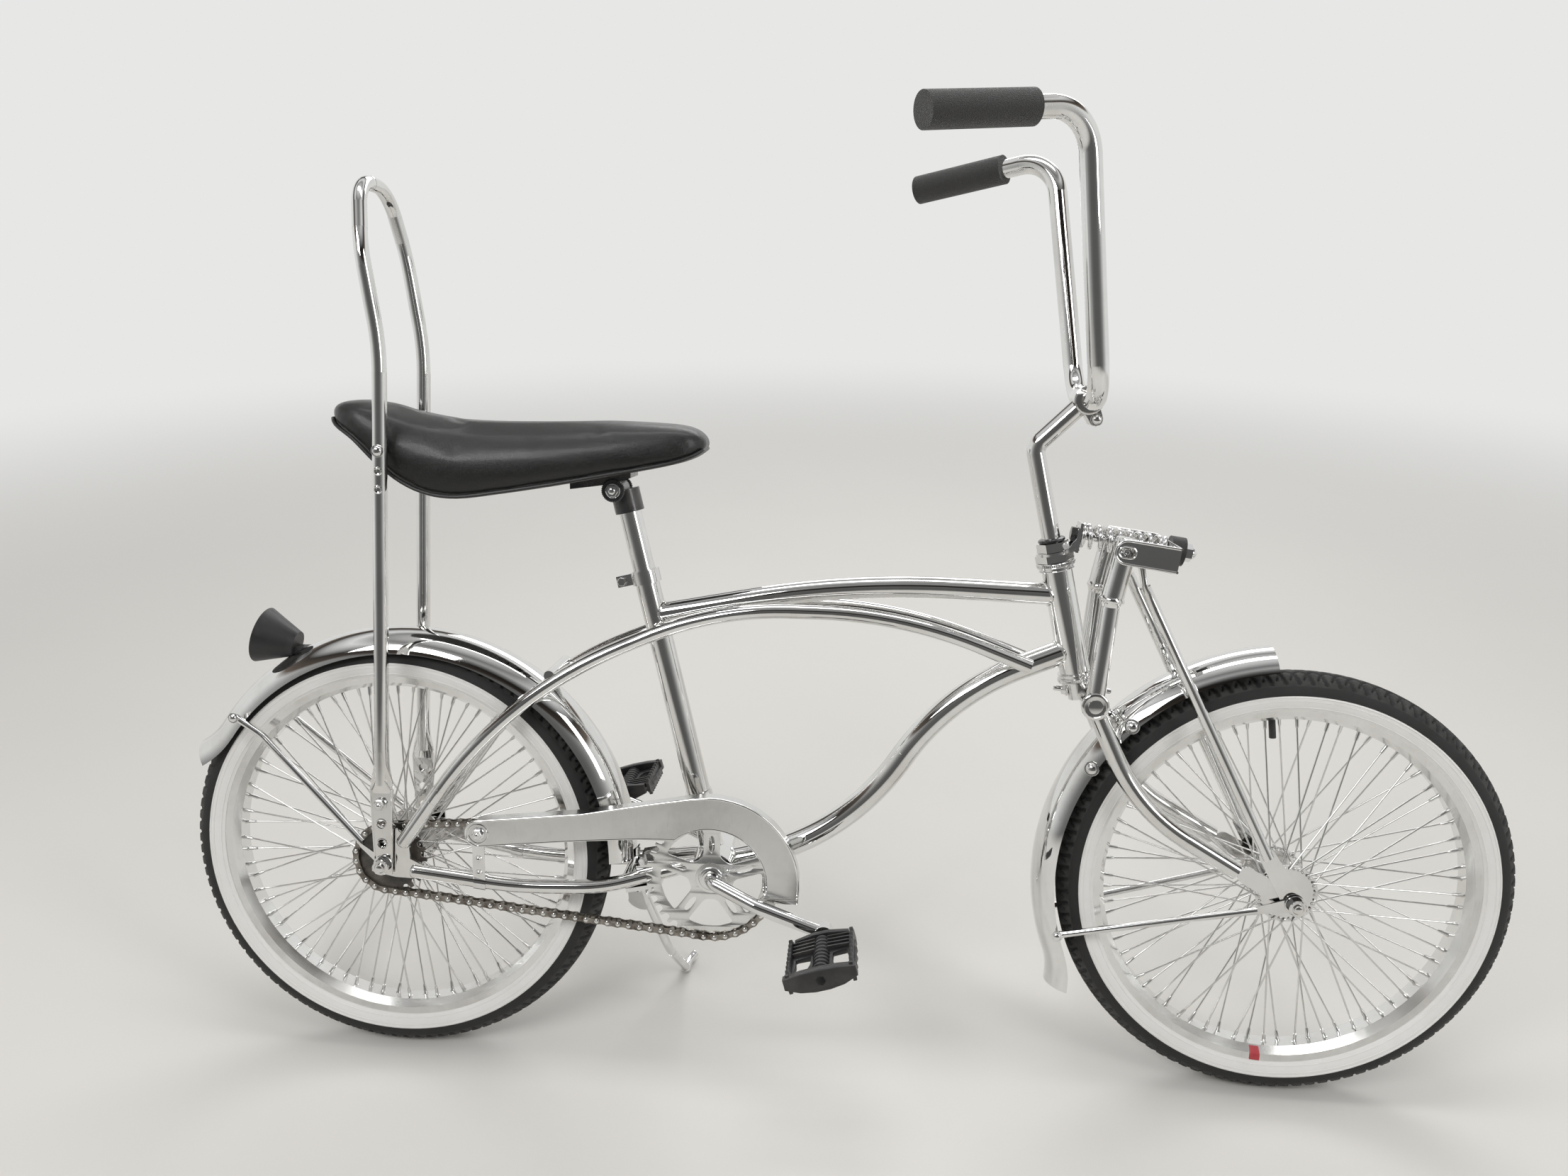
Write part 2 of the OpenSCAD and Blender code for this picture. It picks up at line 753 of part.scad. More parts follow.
stub = 3;
rear_nut_y = rear_half + dropout_t + eye_t + plate_t + 1;
brake_y = rear_half - 12;
module rear_axle() {
    color("silver") {
        across(0, wheel_r, -rear_nut_y - nut_t - stub, rear_nut_y + nut_t + stub, axle_d / 2);
        across(0, wheel_r, -rear_half + 0.1, -hub_end(rear_half) - 0.4, 8.5);
        across(0, wheel_r, brake_y + 3.1, rear_half - 0.1, 8.5);
        both_sides() across(0, wheel_r, rear_nut_y, rear_nut_y + nut_t, 9, $fn = 6);
    }
}

// Brake arm between the left dropout and the hub, held to the chainstay by a strap
arm_end = [126, 0, 253];
module brake_arm() {
    color("silver") {
        side_plate(brake_y + 3, 3) difference() {
            union() {
                translate([0, wheel_r]) circle(r = 19);
                polygon([[4, wheel_r - 12], [4, wheel_r + 18], [arm_end[0], arm_end[2] + 7], [arm_end[0], arm_end[2] - 7]]);
                translate([arm_end[0], arm_end[2]]) circle(r = 7);
            }
            translate([0, wheel_r]) circle(d = axle_d + 0.2);
        }
        difference() {
            union() {
                stay_band(arm_end[0], 1);
                across(arm_end[0], arm_end[2], brake_y - 3, brake_y + 8, 3.5);
                side_plate(brake_y + 4.4, 1.5)
                    translate([arm_end[0] - 7, on_stay(arm_end[0], 1)[2]]) square([14, 26]);
            }
            chainstay_hole();
        }
    }
}

// Kickstand: pivot, knee and foot, and the axis it folds about
kick_pivot = [288, 30, 190];
kick_knee = [317, 50, 105];
kick_foot_r = 7;
kick_foot = upright([325, 137, kick_foot_r]);
kick_axis = unit([0.29, 0.755, 0.588]);
kick_r = 5.5;

// Side stand bracket: plates under and over the chainstays, with an arm down to the stand's ear
kick_ear_t = 6;
kick_boss_low = -9.5;
kick_ear_low = -17;
kick_up = [0.015, -0.618, 0.786];
kick_arm_len = 35;
stay_dir = unit(chainstay_path[0] - chainstay_path[1]);
stay_slope = atan2(stay_dir[2], norm([stay_dir[0], stay_dir[1]]));
plate_mid = lerp(chainstay_path[1], chainstay_path[0], 0.42);
arm_foot = kick_pivot + kick_axis * (kick_ear_low + kick_ear_t / 2) + kick_up * kick_arm_len;

module under_stays(gap) {
    translate([plate_mid[0], 0, plate_mid[2]]) rotate([0, -stay_slope, 0]) translate([0, 0, gap]) children();
}

module kickstand_bracket() {
    color("silver") {
        difference() {
            union() {
                under_stays(-twin_tube_d / 2 - 0.4 - 5) translate([-21, -37, 0]) cube([42, 74, 5]);
                under_stays(-twin_tube_d / 2 - 0.4 - 1) translate([8, 0, 0]) cylinder(r = 5, h = twin_tube_d + 6);
                under_stays(twin_tube_d / 2 + 0.4) translate([-5, -28, 0]) cube([28, 56, 4]);
                under_stays(twin_tube_d / 2 + 4) translate([8, 0, 0]) cylinder(r = 8, h = 5, $fn = 6);
                bar(arm_foot, [arm_foot[0] + 3, arm_foot[1], plate_mid[2] - 14], 9);
                aim(kick_pivot, kick_axis) translate([0, 0, kick_ear_low]) cylinder(r = 13, h = kick_ear_t);
                hull() {
                    translate(kick_pivot + kick_axis * kick_ear_low) aim([0, 0, 0], kick_axis)
                        cylinder(r = 12, h = kick_ear_t, $fn = 32);
                    translate(kick_pivot + kick_axis * kick_ear_low + kick_up * kick_arm_len) aim([0, 0, 0], kick_axis)
                        cylinder(r = 10, h = kick_ear_t, $fn = 32);
                }
            }
            aim(kick_pivot, kick_axis) translate([0, 0, kick_ear_low - 1]) cylinder(r = 4.05, h = kick_ear_t + 2);
        }
    }
}

module kickstand_leg() {
    color("silver") {
        aim(kick_pivot, kick_axis) translate([0, 0, kick_boss_low]) cylinder(r = 9, h = 16);
        aim(kick_pivot, kick_axis) translate([0, 0, kick_ear_low]) cylinder(r = 4, h = 20);
        bent_tube([kick_pivot, kick_knee, kick_foot], [0, 40, 0], kick_r);
        translate(kick_foot) sphere(r = kick_foot_r);
    }
}

// Fork: steerer, crown and two long legs that run from the spring's yoke down to the rockers
crown_at = [806, 0, 472];
pin_at = [829, 0, 643];
leg_path = [
    [831.5, -leg_y, 654], [818, -leg_y, 586], [808, -leg_y, 468], [862, -leg_low_y + 3, 352],
    [973, -leg_low_y, 288]
];
leg_bends = [0, 60, 60, 200, 0];
pin_r = 4.5;
yoke_t = 4;
yoke_in_y = leg_y + leg_top_d / 2 + seat_gap;

module fork() {
    color("silver") {
        both_sides() {
            bent_tube(leg_path, leg_bends, leg_d / 2);
            bar(leg_path[0] + [0.2, 0, 1], leg_path[1] + [0.6, 0, 3], leg_top_d / 2);
            across(pin_at[0], pin_at[2], leg_y, yoke_in_y + yoke_t - 1, pin_r);
        }
        across(crown_at[0], crown_at[2], -leg_y, leg_y, 12);
        on_head(-norm(head_top - on_axis(466))) cylinder(r = steerer_r, h = norm(head_top - on_axis(466)) + steerer_s);
    }
}

// Front axle ends, from the hub outward
rocker_y = front_half + plate_t + 1;
strut_plate_y = rocker_y + plate_t + 0.1;
front_eye_y = strut_plate_y + eye_t + 0.1;
front_nut_y = front_eye_y + 0.3;

module fork_rockers() {
    color("silver") both_sides() difference() {
        side_plate(-rocker_y + plate_t, plate_t) difference() {
            union() {
                translate([985, 283]) circle(r = 10);
                translate([wheelbase, wheel_r]) circle(r = 11);
                polygon([[989.8, 291.8], [wheelbase + 5.3, wheel_r + 9.6], [wheelbase - 5.3, wheel_r - 9.6], [980.2, 274.2]]);
            }
            translate([wheelbase, wheel_r]) circle(d = axle_d + 0.2);
        }
        bent_tube(leg_path, leg_bends, leg_d / 2);
    }
}

strut_low = [1005, -strut_plate_y + plate_t / 2, 306];
strut_top = [852, -leg_y - 4, 604];
module fork_struts() {
    color("silver") both_sides() {
        bar(strut_low, strut_top, strut_d / 2);
        translate(strut_top) rotate([0, -12, 0]) translate([-3, -7, -3]) cube([5, 14, 38]);
        difference() {
            side_plate(-strut_plate_y + plate_t, plate_t) union() {
                translate([1005, 307]) circle(r = 9);
                translate([wheelbase, wheel_r]) circle(r = 12);
                polygon([[1012.7, 311.7], [wheelbase + 10.2, wheel_r + 6.3], [wheelbase - 10.2, wheel_r - 6.3], [997.3, 302.3]]);
            }
            across(wheelbase, wheel_r, -strut_plate_y - 5, -strut_plate_y + 5, axle_d / 2 + 0.1);
        }
    }
}

spring_rear = [787, 0, 653];
spring_front = [880, 0, 640];
spring_dir = unit(spring_front - spring_rear);
bolt_r = 5;

module spring() {
    steps = 14;
    sides = 6;
    mid_r = (spring_d - wire_d) / 2;
    reach = norm(spring_front - spring_rear) - wire_d;
    count = spring_turns * steps;
    slope = reach / spring_turns / (2 * PI * mid_r);
    color("silver") aim(spring_rear + spring_dir * wire_d / 2, spring_dir)
        skin([for (k = [0 : count])
            let (turn = k * 360 / steps, out = [cos(turn), sin(turn), 0], up = unit([slope * sin(turn), -slope * cos(turn), 1]))
                [for (s = [0 : sides - 1])
                    mid_r * out + [0, 0, reach * k / count]
                    + wire_d / 2 * (cos(s * 360 / sides) * out + sin(s * 360 / sides) * up)]
        ]);
}

// Pin place in the yoke's own frame: below the spring's axis and behind its front plate
yoke_pin_x = (pin_at - spring_front) * [-sin(8), 0, -cos(8)];
yoke_pin_z = (pin_at - spring_front) * spring_dir;
yoke_half_h = 13.5;
module yoke_outline() {
    difference() {
        union() {
            translate([yoke_pin_x, yoke_pin_z]) circle(r = yoke_half_h);
            translate([yoke_pin_x - yoke_half_h, yoke_pin_z]) square([2 * yoke_half_h, -yoke_pin_z + yoke_t + 0.2]);
        }
        for (slide = [-3, 3]) translate([yoke_pin_x, yoke_pin_z + slide]) circle(r = pin_r + 0.5);
        translate([yoke_pin_x - pin_r - 0.5, yoke_pin_z - 3]) square([2 * pin_r + 1, 6]);
    }
}

module spring_yoke() {
    color("silver") aim(spring_front, spring_dir) difference() {
        union() {
            for (y = [-yoke_in_y, yoke_in_y + yoke_t])
                translate([0, y, 0]) rotate([90, 0, 0]) linear_extrude(yoke_t) yoke_outline();
            translate([yoke_pin_x - yoke_half_h, -yoke_in_y - yoke_t, 0.2])
                cube([2 * yoke_half_h, 2 * yoke_in_y + 2 * yoke_t, yoke_t]);
        }
        translate([0, 0, -1]) cylinder(r = bolt_r, h = yoke_t + 3);
    }
}

module spring_perch() {
    color("silver") difference() {
        union() {
            on_head(perch_s) cylinder(r = 20, h = perch_t);
            on_head(perch_s) translate([14, -13, 0]) cube([12.5, 26, perch_t]);
            aim(spring_rear, spring_dir) translate([-14, -14, -3.2]) cube([33, 28, 3]);
        }
        on_head(perch_s - 1) cylinder(r = steerer_r + 0.2, h = perch_t + 2);
        aim(spring_rear, spring_dir) translate([0, 0, -4]) cylinder(r = bolt_r, h = 5);
    }
}

bumper_t = 16;
module spring_bolt() {
    color("silver") {
        bar(spring_rear - spring_dir * 9, spring_front + spring_dir * (yoke_t + bumper_t + 4), bolt_r);
        bar(spring_front + spring_dir * (yoke_t + bumper_t + 0.6), spring_front + spring_dir * (yoke_t + bumper_t + 9), 10, $fn = 6);
        translate(spring_front + spring_dir * (yoke_t + bumper_t + 8)) sphere(r = 7);
    }
}

module spring_bumper() {
    color([0.08, 0.08, 0.08]) aim(spring_front, spring_dir) translate([0, 0, yoke_t + 0.4]) difference() {
        cylinder(r = 16, h = bumper_t);
        translate([0, 0, -1]) cylinder(r = bolt_r, h = bumper_t + 2);
    }
}

module headset_nuts() {
    color("silver") difference() {
        union() {
            on_head(cone_s) cylinder(r = 21.5, h = cone_h, $fn = 6);
            on_head(locknut_s) cylinder(r = 18, h = locknut_h, $fn = 6);
        }
        on_head(0) cylinder(r = steerer_r + 0.2, h = 50);
    }
}

// Stem and handlebar
stem_knee = [732, 0, 750];
clamp_at = [785, 0, 802];
module stem() {
    color("silver") difference() {
        union() {
            bent_tube([head_top + axis_dir * (steerer_s + seat_gap), stem_knee, clamp_at], [0, 16, 0], stem_d / 2);
            across(clamp_at[0], clamp_at[2], -19, 19, bar_d / 2 + 5);
        }
        across(clamp_at[0], clamp_at[2], -30, 30, bar_d / 2);
    }
}

bar_path = [
    [597, -221, 1055], [750, -131, 1077.5], [785, -86, 802], [785, 86, 802], [750, 131, 1077.5], [597, 221, 1055]
];
bar_bends = [0, 45, 45, 45, 45, 0];
bar_bore_path = [
    for (i = [0 : 5])
        i == 0 ? bar_path[0] - unit(bar_path[1] - bar_path[0]) :
        i == 5 ? bar_path[5] + unit(bar_path[5] - bar_path[4]) : bar_path[i]
];
module handlebar() {
    color("silver") difference() {
        bent_tube(bar_path, bar_bends, bar_d / 2);
        bent_tube(bar_bore_path, bar_bends, bar_d / 2 - bar_wall);
    }
}

grip_len = 118;
grip_dir = unit(bar_path[1] - bar_path[0]);
module grips() {
    color([0.08, 0.08, 0.08]) both_sides() difference() {
        bar(bar_path[0] - grip_dir * 3, bar_path[0] + grip_dir * (grip_len - 3), grip_d / 2);
        bar(bar_path[0], bar_path[0] + grip_dir * grip_len, bar_d / 2);
    }
}

front_crown_r = 283;
module front_fender() {
    color("silver") fender([wheelbase, 0, wheel_r], front_crown_r, 24, 97, 200, 90);
}

module front_fender_stays() {
    color("silver") {
        both_sides() {
            bar([998, -front_eye_y + 1, 245], [782, -37.3, 189.5], stay_r);
            side_plate(-front_eye_y + eye_t, eye_t) difference() {
                union() {
                    translate([wheelbase, wheel_r]) circle(r = 9);
                    polygon([[wheelbase - 2, wheel_r + 8.5], [996, 249], [996, 241], [wheelbase + 2, wheel_r - 8.5]]);
                }
                translate([wheelbase, wheel_r]) circle(d = axle_d + 0.2);
            }
        }
        aim([wheelbase, 0, wheel_r], crown_at - [wheelbase, 0, wheel_r])
            translate([0, 0, front_crown_r + seat_gap])
                cylinder(r = 6, h = norm(crown_at - [wheelbase, 0, wheel_r]) - front_crown_r - 12 - 2 * seat_gap);
    }
}

module front_axle() {
    color("silver") {
        across(wheelbase, wheel_r, -front_nut_y - nut_t - stub, front_nut_y + nut_t + stub, axle_d / 2);
        both_sides() across(wheelbase, wheel_r, front_nut_y, front_nut_y + nut_t, 9, $fn = 6);
    }
}

// Wheel pieces, drawn about a wheel's axle
module carcass_section() {
    intersection() {
        translate([core_r, 0]) difference() {
            circle(r = tyre_r, $fn = 64);
            circle(r = tyre_r - tyre_wall, $fn = 64);
        }
        translate([rim_lip_r, -tyre_r - 1]) square([tyre_w + 20, tyre_w + 2]);
    }
}

module tyre(x) {
    color([0.06, 0.06, 0.06]) about_axle(x) intersection() {
        carcass_section();
        translate([white_r, -tyre_r - 1]) square([tyre_w, tyre_w + 2]);
    }
}

module whitewalls(x) {
    color("white") about_axle(x) intersection() {
        carcass_section();
        translate([rim_lip_r - 1, -tyre_r - 1]) square([white_r - rim_lip_r + 1, tyre_w + 2]);
    }
}

module rim(x) {
    color([0.8, 0.8, 0.8]) about_axle(x) polygon([
        [rim_lip_r, -rim_half_w], [rim_lip_r, -rim_half_w + rim_t], [rim_in_r + 6, -rim_half_w + rim_t + 1],
        [rim_in_r + rim_t, -rim_bed_half_w], [rim_in_r + rim_t, rim_bed_half_w],
        [rim_in_r + 6, rim_half_w - rim_t - 1], [rim_lip_r, rim_half_w - rim_t], [rim_lip_r, rim_half_w],
        [rim_in_r + 6, rim_half_w - 1], [rim_in_r, rim_bed_half_w], [rim_in_r, -rim_bed_half_w],
        [rim_in_r + 6, -rim_half_w + 1]
    ]);
}

// Spokes: each crosses from a hole in a flange to the rim, leading and trailing by turns
module spokes(x) {
    color("silver") translate([x, 0, wheel_r]) for (i = [0 : spoke_count - 1]) {
        side = i % 2 == 0 ? -1 : 1;
        way = floor(i / 2) % 2 == 0 ? 1 : -1;
        rim_angle = i * 360 / spoke_count;
        hub_angle = rim_angle + way * spoke_tilt;
        hub_y = flange_gap / 2 + way * (flange_t / 2 + spoke_d / 2 + 0.7) + 0.4;
        bar([hole_ring_r * cos(hub_angle), side * hub_y, hole_ring_r * sin(hub_angle)],
            [(rim_in_r - 0.3) * cos(rim_angle), side * 3, (rim_in_r - 0.3) * sin(rim_angle)], spoke_d / 2, $fn = 16);
    }
}

// End of a hub's barrel, short of the locknuts
function hub_end(half_w) = half_w - 7;
module hub(x, half_w, left_end) {
    color("silver") translate([x, 0, wheel_r]) rotate([90, 0, 0]) difference() {
        union() {
            cylinder(r = hub_shell_r, h = flange_gap, center = true);
            translate([0, 0, -left_end]) cylinder(r = 11, h = left_end + hub_end(half_w));
            for (s = [-1, 1]) translate([0, 0, s * flange_gap / 2]) cylinder(r = flange_r, h = flange_t, center = true);
        }
        for (i = [0 : spoke_count / 2 - 1]) rotate([0, 0, i * 720 / spoke_count])
            translate([hole_ring_r, 0, 0]) cylinder(r = 1.4, h = 80, center = true, $fn = 16);
        cylinder(d = axle_d + 2 * axle_gap, h = 200, center = true);
    }
}

module valve(x) {
    color([0.08, 0.08, 0.08])
        translate([x, 0, wheel_r])
            rotate([0, 90 - valve_angle, 0])
                translate([0, 0, rim_in_r - 24.2])
                    cylinder(r = 3.8, h = 24);
}

// Crank: spindle and two arms in one piece, with a pedal axle at each end
arm_in = [cos(crank_angle), sin(crank_angle)];
function arm_point(dist, y) = [crank_x + dist * arm_in[0], y, crank_z + dist * arm_in[1]];
crank_y = 80;
pedal_y = 95;
module crank() {
    color("silver") {
        across(crank_x, crank_z, -52, 52, 10);
        bent_tube([arm_point(0, -40), arm_point(0, -56), arm_point(60, -76), arm_point(crank_len, -crank_y)], [0, 12, 60, 0], 8);
        bent_tube([arm_point(0, 40), arm_point(0, 56), arm_point(-60, 76), arm_point(-crank_len, crank_y)], [0, 12, 60, 0], 8);
        for (s = [-1, 1]) {
            end = arm_point(-s * crank_len, s * crank_y);
            across(end[0], end[2], end[1] - 8, end[1] + 8, 11);
            across(end[0], end[2], end[1] - 4, end[1] + 4, 6);
            translate([end[0], 0, end[2]]) rotate([s > 0 ? -90 : 90, 0, 0])
                translate([0, 0, crank_y]) cylinder(r = 5, h = pedal_w + 8);
        }
    }
}

module pedal_body(side) {
    at = arm_point(-side * crank_len, side * (pedal_y + pedal_w / 2));
    color([0.06, 0.06, 0.06]) translate(at) rotate([0, -16, 0]) difference() {
        cube([pedal_len, pedal_w, 24], center = true);
        for (s = [-1, 1]) translate([s * 22, 0, 0]) cube([22, pedal_w - 34, 30], center = true);
        rotate([90, 0, 0]) cylinder(r = 5.4, h = pedal_w + 2, center = true);
    }
}

park() head_tube();
park() top_tube();
park() down_tube();
park() seat_tube();
park() twin_tubes();
park() chainstays();
park() bottom_bracket_shell();
park() rear_dropouts();
park() stay_bridges();
park() headset_cups();
park() bearing_cups();
park() seat_clamp();
park() seat_post();
park() seat_bracket();
park() banana_seat();
park() sissy_bar();
park() sissy_bolts();
park() rear_fender();
park() rear_fender_stays();
park() reflector_housing();
park() reflector_lens();
park() chain_guard();
park() guard_brackets();
park() chain();
park() rear_sprocket();
park() rear_axle();
park() brake_arm();
park() kickstand_bracket();
park() kickstand_leg();
steered() fork();
steered() fork_rockers();
steered() fork_struts();
steered() spring();
steered() spring_yoke();
steered() spring_perch();
steered() spring_bolt();
steered() spring_bumper();
steered() headset_nuts();
steered() stem();
steered() handlebar();
steered() grips();
steered() front_fender();
steered() front_fender_stays();
steered() front_axle();
steered() tyre(wheelbase);  // front_tyre
steered() whitewalls(wheelbase);  // front_whitewalls
steered() rim(wheelbase);  // front_rim
steered() spokes(wheelbase);  // front_spokes
steered() hub(wheelbase, front_half, hub_end(front_half));  // front_hub
steered() valve(wheelbase);  // front_valve
park() tyre(0);  // rear_tyre
park() whitewalls(0);  // rear_whitewalls
park() rim(0);  // rear_rim
park() spokes(0);  // rear_spokes
park() hub(0, rear_half, brake_y - 0.5);  // rear_hub
park() valve(0);  // rear_valve
park() crank();
park() chainring();
park() pedal_body(-1);  // right_pedal
park() pedal_body(1);  // left_pedal
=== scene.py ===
"""Looks of a lowrider bicycle with a springer fork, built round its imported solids.

Sizes in the classes are millimetres in the upright bicycle's own frame: X forward from the rear
axle, Y to the left, Z up from the ground. A Stance turns them into the parked bicycle's frame.
"""

import json
import logging
import math
from dataclasses import dataclass, field
from enum import Enum

import bmesh
import bpy
from mathutils import Matrix, Vector, noise


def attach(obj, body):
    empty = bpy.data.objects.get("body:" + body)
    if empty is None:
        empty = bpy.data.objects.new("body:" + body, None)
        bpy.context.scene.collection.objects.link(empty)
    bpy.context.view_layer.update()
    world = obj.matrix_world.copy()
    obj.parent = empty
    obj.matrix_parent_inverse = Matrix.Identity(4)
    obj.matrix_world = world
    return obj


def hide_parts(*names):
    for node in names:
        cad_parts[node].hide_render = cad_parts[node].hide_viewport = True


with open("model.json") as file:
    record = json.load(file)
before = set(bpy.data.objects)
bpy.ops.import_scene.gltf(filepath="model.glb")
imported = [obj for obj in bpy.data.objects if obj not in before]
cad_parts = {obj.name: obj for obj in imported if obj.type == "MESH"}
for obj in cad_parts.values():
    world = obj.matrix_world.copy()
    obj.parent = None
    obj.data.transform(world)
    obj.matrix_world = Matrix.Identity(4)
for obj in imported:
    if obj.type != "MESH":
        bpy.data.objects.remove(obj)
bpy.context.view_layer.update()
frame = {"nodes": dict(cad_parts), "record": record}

LOG = logging.getLogger("bicycle")
MM = 0.001
FULL = 2 * math.pi
SHARP_ANGLE = math.radians(38)


class Body(Enum):
    """Moving bodies of the bicycle."""

    FRAME = "frame"
    FORK = "fork_and_handlebar"
    FRONT_WHEEL = "front_wheel"
    REAR_WHEEL = "rear_wheel"
    CRANKSET = "crankset"
    RIGHT_PEDAL = "pedal_right"
    LEFT_PEDAL = "pedal_left"
    KICKSTAND = "kickstand"


class Slot(Enum):
    """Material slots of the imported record."""

    FRAME = "chrome_frame"
    FITTINGS = "chrome_fittings"
    FENDER = "chrome_fender"
    RIM = "chrome_rim"
    SPOKE = "spoke_steel"
    WHITE_RUBBER = "white_rubber"
    TYRE = "black_tyre"
    RUBBER = "black_rubber"
    VINYL = "black_vinyl"
    PLASTIC = "black_plastic"
    CASTING = "black_casting"
    CHAIN = "chain_steel"
    LENS = "red_lens"


def point(x: float, y: float, z: float) -> Vector:
    """Returns a point in millimetres."""
    return Vector((x, y, z))


def flipped(p: Vector) -> Vector:
    """Returns the point's mirror image on the other side of the bicycle."""
    return Vector((p.x, -p.y, p.z))


def basis(direction: Vector) -> tuple[Vector, Vector, Vector]:
    """Finds three unit vectors at right angles.

    Args:
        direction: the direction that the third one takes.

    Returns:
        Two vectors across the direction, and the direction itself.
    """
    w = direction.normalized()
    guide = Vector((0, 0, 1)) if abs(w.z) < 0.9 else Vector((1, 0, 0))
    u = guide.cross(w).normalized()
    return u, w.cross(u), w


def smooth_rows(rows: list[tuple[float, ...]], steps: int) -> list[tuple[float, ...]]:
    """Runs a smooth curve through rows of numbers.

    Args:
        rows: the rows that the curve passes through.
        steps: how many parts each span is cut into.

    Returns:
        The rows of the curve, the given ones among them.
    """
    out: list[tuple[float, ...]] = []
    last = len(rows) - 1
    for i in range(last):
        a, b = rows[max(i - 1, 0)], rows[i]
        c, d = rows[i + 1], rows[min(i + 2, last)]
        for k in range(steps):
            t = k / steps
            out.append(
                tuple(
                    0.5 * (2 * q + (r - p) * t + (2 * p - 5 * q + 4 * r - s) * t * t + (3 * q - p - 3 * r + s) * t**3)
                    for p, q, r, s in zip(a, b, c, d)
                )
            )
    out.append(tuple(rows[last]))
    return out


def side_view(x: float, y: float, z: float) -> Matrix:
    """Returns the matrix that stands a flat drawing up along the bicycle, its front to the right side."""
    return Matrix.Translation((x, y, z)) @ Matrix.Rotation(math.pi / 2, 4, "X")


def rounded(loop: list[tuple[float, float]], r: float) -> list[tuple[float, float]]:
    """Rounds the corners of a closed outline.

    Args:
        loop: its corners.
        r: how far each corner is cut back.

    Returns:
        The outline with four points at each corner.
    """
    out = []
    for i, corner in enumerate(loop):
        b, a, c = Vector(corner), Vector(loop[i - 1]), Vector(loop[(i + 1) % len(loop)])
        p = b + (a - b).normalized() * min(r, (a - b).length * 0.45)
        q = b + (c - b).normalized() * min(r, (c - b).length * 0.45)
        for t in (0.0, 0.33, 0.67, 1.0):
            out.append(tuple(p * (1 - t) ** 2 + b * 2 * t * (1 - t) + q * t * t))
    return out


@dataclass(frozen=True)
class Stance:
    """How the bicycle stands: leaning on its kickstand, with the bar turned a little."""

    lean: float = math.radians(11)
    wheel_r: float = 254
    tyre_r: float = 26
    wheelbase: float = 1038
    nose_drop: float = 1.1
    middle: tuple[float, float, float] = (519, 138.9, 0)
    steer_x: float = 846.8
    head_tilt: float = math.radians(13)
    rest_steer: float = math.radians(2.5)

    def parked(self) -> Matrix:
        """Returns the matrix from the upright frame in millimetres to the row frame in metres."""
        nose = math.atan(self.nose_drop / self.wheelbase)
        return (
            Matrix.Scale(MM, 4)
            @ Matrix.Translation(-Vector(self.middle))
            @ Matrix.Translation((0, 0, self.tyre_r))
            @ Matrix.Rotation(-self.lean, 4, "X")
            @ Matrix.Rotation(nose, 4, "Y")
            @ Matrix.Translation((0, 0, -self.tyre_r))
        )

    def steered(self) -> Matrix:
        """Returns the matrix for what the fork carries, which is turned about the steering axis."""
        at = Vector((self.steer_x, 0, self.wheel_r))
        return (
            self.parked()
            @ Matrix.Translation(at)
            @ Matrix.Rotation(-self.head_tilt, 4, "Y")
            @ Matrix.Rotation(-self.rest_steer, 4, "Z")
            @ Matrix.Rotation(self.head_tilt, 4, "Y")
            @ Matrix.Translation(-at)
        )

    def of(self, body: Body) -> Matrix:
        """Returns the matrix for pieces that ride on a body."""
        return self.steered() if body in (Body.FORK, Body.FRONT_WHEEL) else self.parked()


